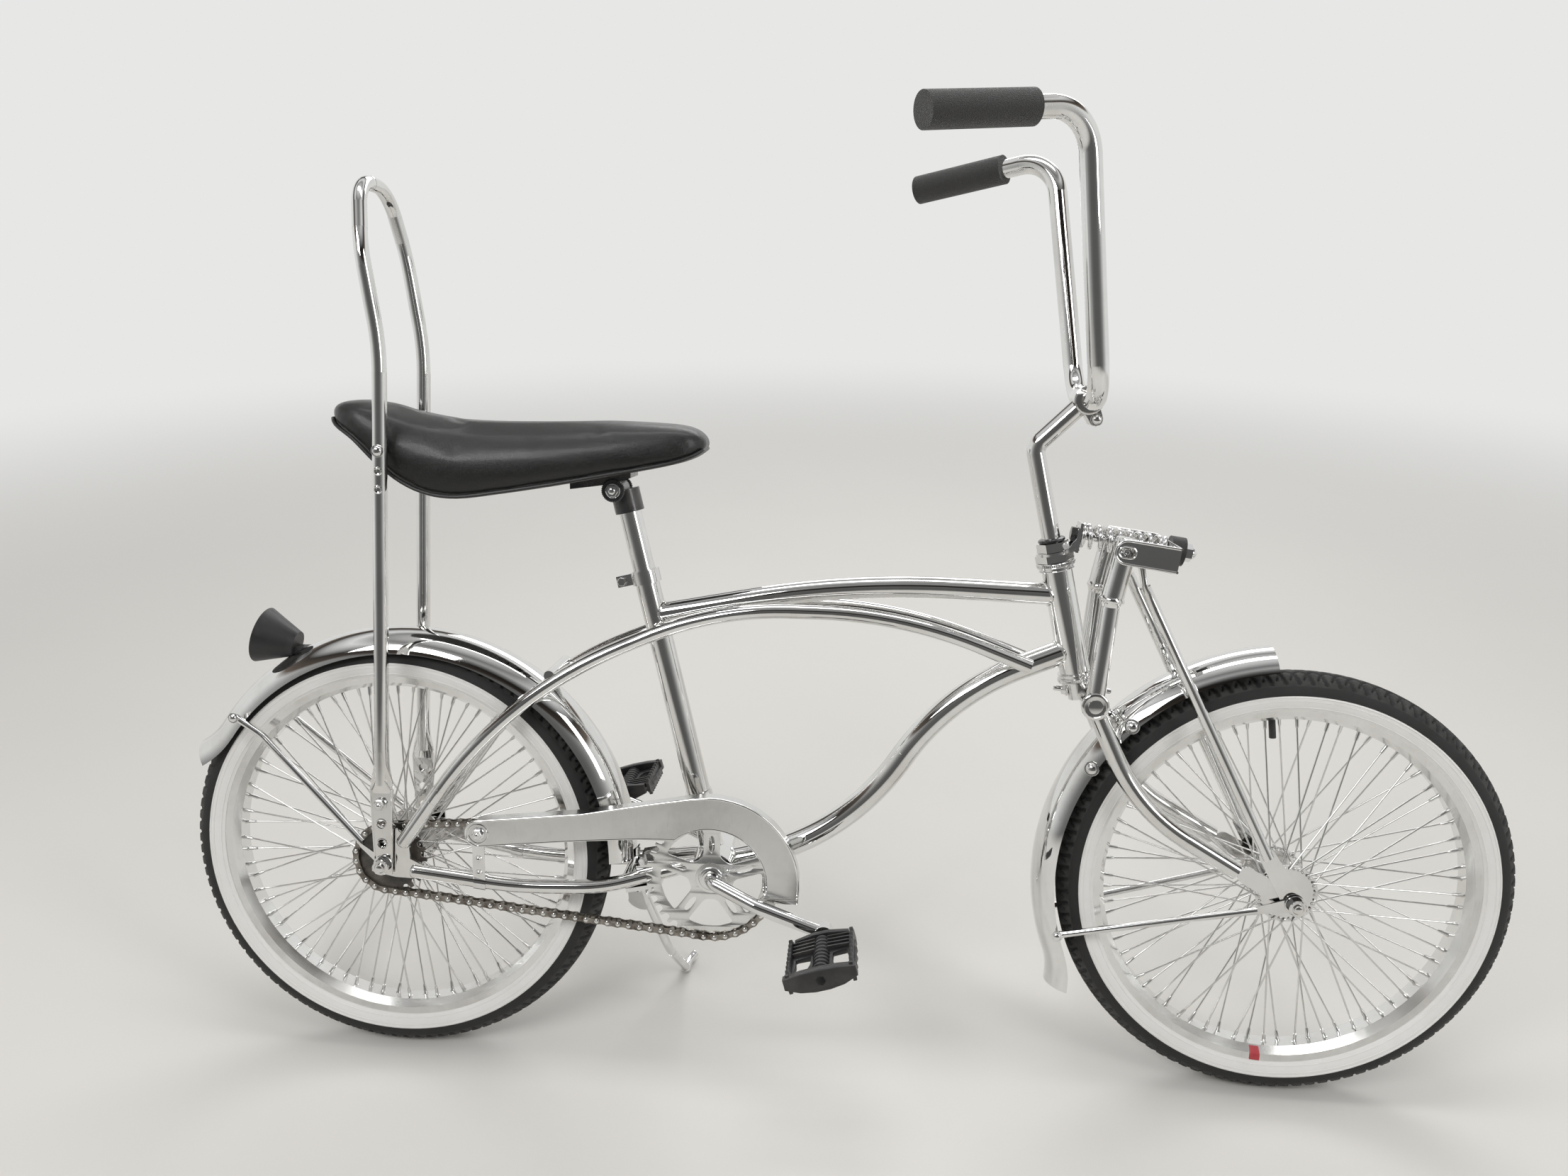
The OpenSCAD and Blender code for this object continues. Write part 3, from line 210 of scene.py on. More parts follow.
@dataclass
class Draft:
    """The points and faces of one piece, gathered in millimetres before it is made."""

    points: list[Vector] = field(default_factory=list)
    faces: list[tuple[int, ...]] = field(default_factory=list)
    values: list[float] = field(default_factory=list)

    def ring(self, places: list[Vector]) -> list[int]:
        """Adds a row of points and returns their numbers."""
        start = len(self.points)
        self.points.extend(places)
        return list(range(start, start + len(places)))

    def band(self, a: list[int], b: list[int], closed: bool = True) -> None:
        """Joins two rows of points by faces.

        Args:
            a: numbers of the first row, or of one point.
            b: numbers of the second row, or of one point.
            closed: whether the last point joins the first one.
        """
        n = max(len(a), len(b))
        for k in range(n if closed else n - 1):
            m = (k + 1) % n
            if len(a) == 1:
                self.faces.append((a[0], b[k], b[m]))
            elif len(b) == 1:
                self.faces.append((a[k], b[0], a[m]))
            else:
                self.faces.append((a[k], b[k], b[m], a[m]))

    def lathe(
        self, origin: Vector, direction: Vector, profile: list[tuple[float, float]], sides: int = 24, turn: float = 0.0
    ) -> None:
        """Revolves a profile about an axis.

        Args:
            origin: a point of the axis.
            direction: the axis, along which heights are measured.
            profile: radius and height of each point of the profile.
            sides: how many sides the piece has.
            turn: angle of its first side.
        """
        u, v, w = basis(direction)
        rows = []
        for r, h in profile:
            base = origin + w * h
            if r < 1e-6:
                rows.append(self.ring([base]))
                continue
            angles = [turn + FULL * k / sides for k in range(sides)]
            rows.append(self.ring([base + (u * math.cos(a) + v * math.sin(a)) * r for a in angles]))
        for a, b in zip(rows, rows[1:]):
            self.band(a, b)

    def sweep(
        self, path: list[Vector], radius: float | list[float], sides: int = 12, closed: bool = False
    ) -> None:
        """Runs a round section along a path.

        Args:
            path: the points of the path.
            radius: the section's radius, or one for each point.
            sides: how many sides the section has.
            closed: whether the path ends where it starts.
        """
        n = len(path)
        radii = radius if isinstance(radius, list) else [radius] * n
        out, rows = basis(path[1] - path[0])[0], []
        for i, p in enumerate(path):
            before = path[i - 1] if i or closed else p
            after = path[(i + 1) % n] if i < n - 1 or closed else p
            ahead = (after - before).normalized()
            out = (out - ahead * out.dot(ahead)).normalized()
            side = ahead.cross(out)
            rows.append(
                self.ring(
                    [
                        p + (out * math.cos(FULL * k / sides) + side * math.sin(FULL * k / sides)) * radii[i]
                        for k in range(sides)
                    ]
                )
            )
        for a, b in zip(rows, rows[1:]):
            self.band(a, b)
        if closed:
            self.join_ends(rows[-1], rows[0])
        else:
            self.band(self.ring([path[0]]), rows[0])
            self.band(rows[-1], self.ring([path[-1]]))

    def join_ends(self, a: list[int], b: list[int]) -> None:
        """Joins the last ring of a closed path to its first one, at the turn where they lie closest."""
        n = len(a)

        def gap(shift: int) -> float:
            return sum((self.points[a[k]] - self.points[b[(k + shift) % n]]).length for k in range(n))

        best = min(range(n), key=gap)
        self.band(a, b[best:] + b[:best])

    def hexagon(self, origin: Vector, direction: Vector, across: float, height: float) -> None:
        """Adds a six-sided nut or bolt head with chamfered corners.

        Args:
            origin: middle of its seat.
            direction: the way it stands.
            across: distance over its flats.
            height: its height.
        """
        r = across / math.sqrt(3)
        cut = height * 0.16
        self.lathe(
            origin,
            direction,
            [(0, 0), (r * 0.98, 0), (r, cut), (r, height - cut), (r * 0.88, height), (0, height)],
            6,
        )

    def dome(self, origin: Vector, direction: Vector, r: float, height: float, sides: int = 20) -> None:
        """Adds a rounded bolt head or cap."""
        profile = [(0.0, 0.0), (r, 0.0), (r, height * 0.25)]
        for k in range(1, 5):
            a = k * math.pi / 8
            profile.append((r * math.cos(a), height * (0.25 + 0.75 * math.sin(a))))
        profile.append((0.0, height))
        self.lathe(origin, direction, profile, sides)

    def washer(self, origin: Vector, direction: Vector, r: float, thick: float = 1.2, sides: int = 24) -> None:
        """Adds a round washer with softened edges."""
        soft = thick * 0.3
        self.lathe(origin, direction, [(0, 0), (r - soft, 0), (r, soft), (r, thick - soft), (r - soft, thick), (0, thick)], sides)

    def block(self, outline: list[tuple[float, float]], low: float, high: float, place: Matrix, soft: float = 0.0) -> None:
        """Raises a flat outline into a plate with softened edges.

        Args:
            outline: corners of the plate, counter-clockwise.
            low: height of its lower face.
            high: height of its upper face.
            place: matrix from the plate's own frame.
            soft: how far its edges are cut back.
        """
        n = len(outline)
        cx, cy = sum(p[0] for p in outline) / n, sum(p[1] for p in outline) / n
        rows = []
        for height, inset in ((low, soft), (low + soft, 0.0), (high - soft, 0.0), (high, soft)):
            places = []
            for x, y in outline:
                d = math.hypot(x - cx, y - cy) or 1.0
                k = 1 - inset / d
                places.append(place @ Vector((cx + (x - cx) * k, cy + (y - cy) * k, height)))
            rows.append(self.ring(places))
        for a, b in zip(rows, rows[1:]):
            self.band(a, b)
        self.faces.append(tuple(reversed(rows[0])))
        self.faces.append(tuple(rows[-1]))

    def loft(self, rows: list[list[Vector]], ends: bool = True) -> None:
        """Joins rings of as many points each.

        Args:
            rows: the rings in order.
            ends: whether the first and last ones are closed by a face.
        """
        numbers = [self.ring(row) for row in rows]
        for a, b in zip(numbers, numbers[1:]):
            self.band(a, b)
        if ends:
            self.faces.append(tuple(reversed(numbers[0])))
            self.faces.append(tuple(numbers[-1]))

    def sheet(
        self, outline: list[tuple[float, float]], holes: list[list[tuple[float, float]]], thick: float, soft: float, place: Matrix
    ) -> None:
        """Cuts a flat sheet with holes and rounded edges, lying across its own upright.

        Args:
            outline: its outer edge.
            holes: the edge of each hole.
            thick: its thickness, shared out on both sides.
            soft: how far its edges are rounded.
            place: matrix from the sheet's own frame.
        """
        curve = bpy.data.curves.new("sheet_pattern", "CURVE")
        curve.dimensions, curve.fill_mode = "2D", "BOTH"
        curve.extrude, curve.bevel_depth, curve.bevel_resolution, curve.offset = thick / 2 - soft, soft, 1, -soft
        for loop in (outline, *holes):
            spline = curve.splines.new("POLY")
            spline.points.add(len(loop) - 1)
            for corner, (x, y) in zip(spline.points, loop):
                corner.co = (x, y, 0, 1)
            spline.use_cyclic_u = True
        holder = bpy.data.objects.new("sheet_pattern", curve)
        bpy.context.scene.collection.objects.link(holder)
        graph = bpy.context.evaluated_depsgraph_get()
        graph.update()
        mesh = bpy.data.meshes.new_from_object(holder.evaluated_get(graph), depsgraph=graph)
        bpy.data.objects.remove(holder)
        start = len(self.points)
        self.points.extend(place @ v.co for v in mesh.vertices)
        self.faces.extend(tuple(start + i for i in face.vertices) for face in mesh.polygons)
        bpy.data.meshes.remove(mesh)

    def bead(self, a: Vector, toward: Vector, ra: float, b: Vector, along: Vector, rb: float, r: float, seed: int) -> None:
        """Adds the bead of weld where one round tube ends on another.

        Args:
            a: a point of the first tube's axis, near the joint.
            toward: direction from the joint along the first tube.
            ra: radius of the first tube.
            b: a point of the second tube's axis.
            along: direction of the second tube.
            rb: radius of the second tube.
            r: radius of the bead.
            seed: number that sets the bead's ripple.
        """
        u, v, w = basis(toward)
        along = along.normalized()
        count = 48
        path, radii = [], []
        for k in range(count):
            angle = FULL * k / count
            start = a + (u * math.cos(angle) + v * math.sin(angle)) * ra - b
            flat = start - along * start.dot(along)
            run = w - along * w.dot(along)
            half, whole = flat.dot(run) / run.dot(run), (flat.dot(flat) - rb * rb) / run.dot(run)
            root = math.sqrt(max(half * half - whole, 0.0))
            path.append(start + b + w * (root - half))
            radii.append(r * (1 + 0.1 * math.sin(k * 2.6 + seed)))
        self.sweep(path, radii, 8, closed=True)


class Tree:
    """A node tree with short ways to add and join its nodes."""

    def __init__(self, tree: bpy.types.NodeTree) -> None:
        """Takes a node tree and empties it."""
        self.tree = tree
        tree.nodes.clear()

    def add(self, kind: str, sockets: dict[str | int, object] | None = None, **settings: object) -> bpy.types.Node:
        """Adds a node.

        Args:
            kind: the node's type.
            sockets: inputs by name or number, each a value or the output that feeds it.
            **settings: the node's own settings.

        Returns:
            The node.
        """
        node = self.tree.nodes.new(kind)
        for name, value in settings.items():
            setattr(node, name, value)
        for name, value in (sockets or {}).items():
            if isinstance(value, bpy.types.NodeSocket):
                self.tree.links.new(value, node.inputs[name])
            else:
                node.inputs[name].default_value = value
        return node

    def place(self) -> bpy.types.NodeSocket:
        """Returns the place of each point of the surface, in metres."""
        return self.add("ShaderNodeTexCoord").outputs["Object"]

    def ramp(self, value: bpy.types.NodeSocket, stops: list[tuple[float, tuple[float, float, float]]]) -> bpy.types.NodeSocket:
        """Turns a value into a colour.

        Args:
            value: the value.
            stops: place and colour of each stop.

        Returns:
            The colour.
        """
        node = self.add("ShaderNodeValToRGB", {"Fac": value})
        marks = node.color_ramp.elements
        while len(marks) < len(stops):
            marks.new(0.5)
        for mark, (at, colour) in zip(marks, stops):
            mark.position = at
            mark.color = (*colour, 1)
        return node.outputs["Color"]

    def math(self, what: str, a: object, b: object = 0.0) -> bpy.types.NodeSocket:
        """Returns the result of one sum."""
        return self.add("ShaderNodeMath", {0: a, 1: b}, operation=what).outputs[0]


class Effects:
    """Surface effects that several materials share, each a node group made once."""

    @staticmethod
    def group(name: str, inputs: dict[str, float], outputs: list[str]) -> tuple[bpy.types.NodeTree, Tree, bpy.types.Node]:
        """Makes an empty group.

        Args:
            name: the group's name.
            inputs: its inputs and their usual values.
            outputs: its outputs.

        Returns:
            The group, its tree and its input node.
        """
        tree = bpy.data.node_groups.new(name, "ShaderNodeTree")
        for key, value in inputs.items():
            tree.interface.new_socket(key, in_out="INPUT", socket_type="NodeSocketFloat").default_value = value
        for key in outputs:
            tree.interface.new_socket(key, in_out="OUTPUT", socket_type="NodeSocketFloat")
        draft = Tree(tree)
        return tree, draft, draft.add("NodeGroupInput")

    @classmethod
    def handling(cls) -> bpy.types.NodeTree:
        """Smears and fine scratches that handling leaves on a polished surface."""
        tree, t, given = cls.group("handling", {"Scale": 9.0, "Low": 0.05, "High": 0.16}, ["Roughness", "Smear"])
        at = t.place()
        smear = t.add("ShaderNodeTexNoise", {"Vector": at, "Scale": given.outputs["Scale"], "Detail": 5.0, "Roughness": 0.62})
        stretched = t.add("ShaderNodeMapping", {"Vector": at, "Scale": (1.0, 1.0, 0.12)})
        lines = t.add("ShaderNodeTexNoise", {"Vector": stretched.outputs[0], "Scale": 420.0, "Detail": 2.0})
        soft = t.add("ShaderNodeMapRange", {"Value": smear.outputs["Fac"], "From Min": 0.42, "From Max": 0.72})
        fine = t.add("ShaderNodeMapRange", {"Value": lines.outputs["Fac"], "From Min": 0.6, "From Max": 0.8})
        both = t.math("MULTIPLY_ADD", fine.outputs[0], 0.3)
        t.tree.links.new(soft.outputs[0], both.node.inputs[2])
        span = t.math("SUBTRACT", given.outputs["High"], given.outputs["Low"])
        rough = t.math("MULTIPLY_ADD", both, span)
        t.tree.links.new(given.outputs["Low"], rough.node.inputs[2])
        t.add("NodeGroupOutput", {"Roughness": rough, "Smear": both})
        return tree

    @classmethod
    def polish(cls) -> bpy.types.NodeTree:
        """Slow waves that polishing leaves under plating, as a height."""
        tree, t, given = cls.group("polish", {"Scale": 26.0}, ["Height"])
        wave = t.add("ShaderNodeTexNoise", {"Vector": t.place(), "Scale": given.outputs["Scale"], "Detail": 2.0, "Roughness": 0.4})
        t.add("NodeGroupOutput", {"Height": wave.outputs["Fac"]})
        return tree

    @classmethod
    def grain(cls) -> bpy.types.NodeTree:
        """Pebbled grain of moulded vinyl, rubber or foam, as a height and a mask of its hollows, which the vinyl uses
        to paint shade into them.
        """
        tree, t, given = cls.group("grain", {"Scale": 900.0, "Wander": 0.35}, ["Height", "Hollow"])
        at = t.place()
        drift = t.add("ShaderNodeTexNoise", {"Vector": at, "Scale": 160.0, "Detail": 3.0})
        push = t.math("MULTIPLY", given.outputs["Wander"], 0.004)
        moved = t.add("ShaderNodeVectorMath", {0: drift.outputs["Color"], "Scale": push}, operation="SCALE")
        where = t.add("ShaderNodeVectorMath", {0: at, 1: moved.outputs[0]}, operation="ADD")
        cells = t.add("ShaderNodeTexVoronoi", {"Vector": where.outputs[0], "Scale": given.outputs["Scale"]}, feature="DISTANCE_TO_EDGE")
        edge = t.add("ShaderNodeMapRange", {"Value": cells.outputs["Distance"], "From Min": 0.0, "From Max": 0.28})
        edge.interpolation_type = "SMOOTHSTEP"
        hollow_shade_mask = t.math("SUBTRACT", 1.0, edge.outputs[0])
        t.add("NodeGroupOutput", {"Height": edge.outputs[0], "Hollow": hollow_shade_mask})
        return tree

    @classmethod
    def dust(cls) -> bpy.types.NodeTree:
        """A mask of the dust that lies on what faces up, in patches."""
        tree, t, given = cls.group("dust", {"Amount": 0.3, "Scale": 40.0}, ["Mask"])
        up = t.add("ShaderNodeSeparateXYZ", {0: t.add("ShaderNodeNewGeometry").outputs["Normal"]}).outputs["Z"]
        facing = t.add("ShaderNodeMapRange", {"Value": up, "From Min": -0.1, "From Max": 0.9})
        spots = t.add("ShaderNodeTexNoise", {"Vector": t.place(), "Scale": given.outputs["Scale"], "Detail": 6.0, "Roughness": 0.7})
        patches = t.add("ShaderNodeMapRange", {"Value": spots.outputs["Fac"], "From Min": 0.4, "From Max": 0.75})
        mask = t.math("MULTIPLY", facing.outputs[0], patches.outputs[0])
        t.add("NodeGroupOutput", {"Mask": t.math("MULTIPLY", mask, given.outputs["Amount"])})
        return tree

    def __init__(self) -> None:
        """Makes every group."""
        self.groups = {g.name: g for g in (self.handling(), self.polish(), self.grain(), self.dust())}

    def use(self, t: Tree, name: str, **values: float) -> bpy.types.Node:
        """Places a group in a material.

        Args:
            t: the material's tree.
            name: the group's name.
            **values: its inputs.

        Returns:
            The group's node.
        """
        node = t.add("ShaderNodeGroup", node_tree=self.groups[name])
        for key, value in values.items():
            node.inputs[key.capitalize()].default_value = value
        return node


@dataclass(frozen=True)
class Finish:
    """A finish, which makes its own material."""

    name: str

    def dress(self, t: Tree, effects: Effects) -> dict[str, object]:
        """Returns the shader's inputs, each a value or the output that feeds it."""
        raise NotImplementedError

    def build(self, effects: Effects) -> bpy.types.Material:
        """Makes the material.

        Args:
            effects: the shared effects.

        Returns:
            The material.
        """
        material = bpy.data.materials.new(self.name)
        material.use_nodes = True
        t = Tree(material.node_tree)
        shader = t.add("ShaderNodeBsdfPrincipled", self.dress(t, effects))
        t.add("ShaderNodeOutputMaterial", {"Surface": shader.outputs[0]})
        return material

    @staticmethod
    def bump(t: Tree, height: bpy.types.NodeSocket, depth: float, strength: float = 1.0) -> bpy.types.NodeSocket:
        """Turns a height into a normal.

        Args:
            t: the material's tree.
            height: the height, from 0 to 1.
            depth: what a height of 1 stands for, in metres.
            strength: how much of it shows.

        Returns:
            The normal.
        """
        return t.add("ShaderNodeBump", {"Height": height, "Distance": depth, "Strength": strength}).outputs[0]

    @staticmethod
    def mixed(t: Tree, share: bpy.types.NodeSocket, a: object, b: object) -> bpy.types.NodeSocket:
        """Returns a colour between two others."""
        node = t.add("ShaderNodeMix", data_type="RGBA")
        for number, value in ((0, share), (6, a), (7, b)):
            if isinstance(value, bpy.types.NodeSocket):
                t.tree.links.new(value, node.inputs[number])
            else:
                node.inputs[number].default_value = (*value, 1)
        return node.outputs[2]


@dataclass(frozen=True)
class Plated(Finish):
    """Chrome or zinc plate over polished steel."""

    bright: tuple[float, float, float] = (0.80, 0.80, 0.79)
    dull: tuple[float, float, float] = (0.66, 0.65, 0.63)
    low: float = 0.03
    high: float = 0.12
    wave: float = 0.00004
    wave_scale: float = 26.0

    def dress(self, t: Tree, effects: Effects) -> dict[str, object]:
        """Mirror plate with smears, fine lines and slow polishing waves."""
        handled = effects.use(t, "handling", scale=9.0, low=self.low, high=self.high)
        waves = effects.use(t, "polish", scale=self.wave_scale)
        return {
            "Base Color": self.mixed(t, handled.outputs["Smear"], self.bright, self.dull),
            "Metallic": 1.0,
            "Roughness": handled.outputs["Roughness"],
            "Normal": self.bump(t, waves.outputs["Height"], self.wave),
        }


@dataclass(frozen=True)
class Rubber(Finish):
    """Moulded rubber, with grain, dust and worn patches."""

    colour: tuple[float, float, float] = (0.018, 0.018, 0.019)
    worn: tuple[float, float, float] = (0.05, 0.048, 0.045)
    rough: float = 0.62
    grain_scale: float = 700.0
    depth: float = 0.00012
    dusty: float = 0.25
    sheen: float = 0.0

    def dress(self, t: Tree, effects: Effects) -> dict[str, object]:
        """Even colour broken by the grain's hollows and by dust."""
        grain = effects.use(t, "grain", scale=self.grain_scale)
        dust = effects.use(t, "dust", amount=self.dusty)
        patches = t.add("ShaderNodeTexNoise", {"Vector": t.place(), "Scale": 30.0, "Detail": 4.0})
        base = self.mixed(t, patches.outputs["Fac"], self.colour, tuple(0.5 * (a + b) for a, b in zip(self.colour, self.worn)))
        rough = t.add(
            "ShaderNodeMapRange",
            {"Value": patches.outputs["Fac"], "From Min": 0.3, "From Max": 0.7, "To Min": self.rough - 0.08, "To Max": self.rough + 0.1},
        )
        return {
            "Base Color": self.mixed(t, dust.outputs["Mask"], base, self.worn),
            "Roughness": rough.outputs[0],
            "Sheen Weight": self.sheen,
            "Normal": self.bump(t, grain.outputs["Height"], self.depth),
        }


@dataclass(frozen=True)
class Tread(Rubber):
    """Tyre rubber, dusty on top of its blocks and black down in its grooves."""

    top: tuple[float, float, float] = (0.05, 0.05, 0.048)

    def dress(self, t: Tree, effects: Effects) -> dict[str, object]:
        """Rubber whose block tops are greyed by dust and wear."""
        inputs = super().dress(t, effects)
        block = t.add("ShaderNodeAttribute", attribute_name="block_top").outputs["Fac"]
        worn = t.add("ShaderNodeTexNoise", {"Vector": t.place(), "Scale": 55.0, "Detail": 4.0})
        share = t.math("MULTIPLY", block, t.add("ShaderNodeMapRange", {"Value": worn.outputs["Fac"], "From Min": 0.3, "From Max": 0.7}).outputs[0])
        inputs["Base Color"] = self.mixed(t, share, inputs["Base Color"], self.top)
        return inputs


@dataclass(frozen=True)
class Vinyl(Finish):
    """Black upholstery vinyl with a fine pebble and a soft gloss."""

    colour: tuple[float, float, float] = (0.0075, 0.0075, 0.0072)
    scuffed: tuple[float, float, float] = (0.028, 0.027, 0.025)
    grain_scale: float = 1150.0

    def dress(self, t: Tree, effects: Effects) -> dict[str, object]:
        """Gloss that dulls in patches, over a fine pebble."""
        grain = effects.use(t, "grain", scale=self.grain_scale, wander=0.6)
        dust = effects.use(t, "dust", amount=0.14, scale=16.0)
        handled = effects.use(t, "handling", scale=14.0, low=0.3, high=0.46)
        # The pebble's hollows are painted darker here: painted shade in the grain, not a colour of the vinyl.
        hollow_shade_mask = t.math("MULTIPLY", grain.outputs["Hollow"], 0.5)
        base = self.mixed(t, hollow_shade_mask, self.colour, tuple(c * 0.4 for c in self.colour))
        return {
            "Base Color": self.mixed(t, dust.outputs["Mask"], base, self.scuffed),
            "Roughness": handled.outputs["Roughness"],
            "Coat Weight": 0.18,
            "Coat Roughness": 0.22,
            "Normal": self.bump(t, grain.outputs["Height"], 0.00006),
        }


@dataclass(frozen=True)
class Moulded(Finish):
    """Black plastic or painted casting, with spark texture and pale rubbed places."""

    colour: tuple[float, float, float] = (0.016, 0.016, 0.017)
    rubbed: tuple[float, float, float] = (0.07, 0.065, 0.06)
    rough: float = 0.42
    coat: float = 0.0
    grain_scale: float = 1500.0

    def dress(self, t: Tree, effects: Effects) -> dict[str, object]:
        """Fine spark texture, with scuffs on what stands proud."""
        grain = effects.use(t, "grain", scale=self.grain_scale, wander=0.8)
        handled = effects.use(t, "handling", scale=22.0, low=self.rough - 0.1, high=self.rough + 0.14)
        proud = t.add("ShaderNodeMapRange", {"Value": t.add("ShaderNodeNewGeometry").outputs["Pointiness"], "From Min": 0.52, "From Max": 0.62})
        share = t.math("MULTIPLY", proud.outputs[0], handled.outputs["Smear"])
        return {
            "Base Color": self.mixed(t, share, self.colour, self.rubbed),
            "Roughness": handled.outputs["Roughness"],
            "Coat Weight": self.coat,
            "Coat Roughness": 0.15,
            "Normal": self.bump(t, grain.outputs["Height"], 0.00004),
        }


@dataclass(frozen=True)
class OiledSteel(Finish):
    """Bare chain steel with oil and old dirt between its plates."""

    steel: tuple[float, float, float] = (0.34, 0.32, 0.29)
    dirt: tuple[float, float, float] = (0.07, 0.055, 0.04)

    def dress(self, t: Tree, effects: Effects) -> dict[str, object]:
        """Dark film in patches, which dulls the metal."""
        handled = effects.use(t, "handling", scale=60.0, low=0.26, high=0.5)
        film = t.add("ShaderNodeTexNoise", {"Vector": t.place(), "Scale": 85.0, "Detail": 5.0, "Roughness": 0.65})
        share = t.add("ShaderNodeMapRange", {"Value": film.outputs["Fac"], "From Min": 0.4, "From Max": 0.68})
        metal = t.math("SUBTRACT", 1.0, t.math("MULTIPLY", share.outputs[0], 0.35))
        return {
            "Base Color": self.mixed(t, share.outputs[0], self.steel, self.dirt),
            "Metallic": metal,
            "Roughness": handled.outputs["Roughness"],
            "Normal": self.bump(t, film.outputs["Fac"], 0.00012),
        }


@dataclass(frozen=True)
class Lens(Finish):
    """Moulded red reflector with rows of small prisms behind its face."""

    # bright is the painted highlight at each prism cell's middle, deep the painted shade at its edges.
    bright: tuple[float, float, float] = (0.62, 0.008, 0.006)
    deep: tuple[float, float, float] = (0.18, 0.0, 0.0)
    pitch: float = 360.0

    def dress(self, t: Tree, effects: Effects) -> dict[str, object]:
        """Prisms show as small cells, each painted bright at its middle and dark at its edges: painted highlight and
        shade of the prisms.
        """
        cells = t.add("ShaderNodeTexVoronoi", {"Vector": t.place(), "Scale": self.pitch, "Randomness": 0.0}, feature="F1")
        # Painted highlight and shade of each prism: bright at the cell's middle, deep towards its edges.
        prism_light_and_shade = t.add("ShaderNodeMapRange", {"Value": cells.outputs["Distance"], "From Min": 0.0, "From Max": 0.75})
        return {
            "Base Color": self.mixed(t, prism_light_and_shade.outputs[0], self.bright, self.deep),
            "Roughness": t.add("ShaderNodeMapRange", {"Value": prism_light_and_shade.outputs[0], "To Min": 0.08, "To Max": 0.2}).outputs[0],
            "Coat Weight": 0.6,
            "Coat Roughness": 0.04,
            "Normal": self.bump(t, cells.outputs["Distance"], 0.0006),
        }


FINISHES: dict[Slot, Finish] = {
    Slot.FRAME: Plated("frame_chrome"),
    Slot.FITTINGS: Plated("fitting_chrome", bright=(0.78, 0.78, 0.78), low=0.05, high=0.17, wave_scale=60.0),
    Slot.FENDER: Plated("fender_chrome", low=0.03, high=0.09, wave=0.00006, wave_scale=12.0),
    Slot.RIM: Plated("rim_chrome", bright=(0.83, 0.83, 0.82), dull=(0.72, 0.71, 0.69), low=0.14, high=0.28),
    Slot.SPOKE: Plated("spoke_steel_bright", bright=(0.74, 0.74, 0.73), low=0.12, high=0.26, wave_scale=120.0),
    Slot.WHITE_RUBBER: Rubber(
        "whitewall_rubber", colour=(0.86, 0.855, 0.84), worn=(0.70, 0.68, 0.64), rough=0.5, grain_scale=1400.0, depth=0.00003, dusty=0.3
    ),
    Slot.TYRE: Tread("tyre_rubber", colour=(0.009, 0.009, 0.0095), worn=(0.03, 0.029, 0.027), rough=0.66, dusty=0.25),
    Slot.RUBBER: Rubber("foam_rubber", colour=(0.016, 0.016, 0.016), rough=0.8, grain_scale=620.0, depth=0.0003, dusty=0.2, sheen=0.3),
    Slot.VINYL: Vinyl("seat_vinyl"),
    Slot.PLASTIC: Moulded("pedal_plastic"),
    Slot.CASTING: Moulded("clamp_paint", rough=0.3, coat=0.5, grain_scale=600.0),
    Slot.CHAIN: OiledSteel("oiled_chain_steel"),
    Slot.LENS: Lens("reflector_red"),
}
RED_MARK = Moulded("red_mark_paint", colour=(0.42, 0.012, 0.03), rubbed=(0.5, 0.1, 0.1), rough=0.35)
SATIN_PLATE = Plated("satin_plate", bright=(0.80, 0.80, 0.79), dull=(0.70, 0.70, 0.68), low=0.2, high=0.32, wave=0.00002)
GUARD_PLATE = Plated("guard_plate", bright=(0.72, 0.72, 0.71), dull=(0.62, 0.62, 0.60), low=0.2, high=0.3, wave=0.00002)
SPROCKET_PAINT = Moulded("sprocket_black", colour=(0.014, 0.013, 0.012), rubbed=(0.16, 0.14, 0.12), rough=0.36, coat=0.2)
PAN_PAINT = Moulded("seat_pan_paint", colour=(0.02, 0.02, 0.02), rough=0.5, coat=0.1)


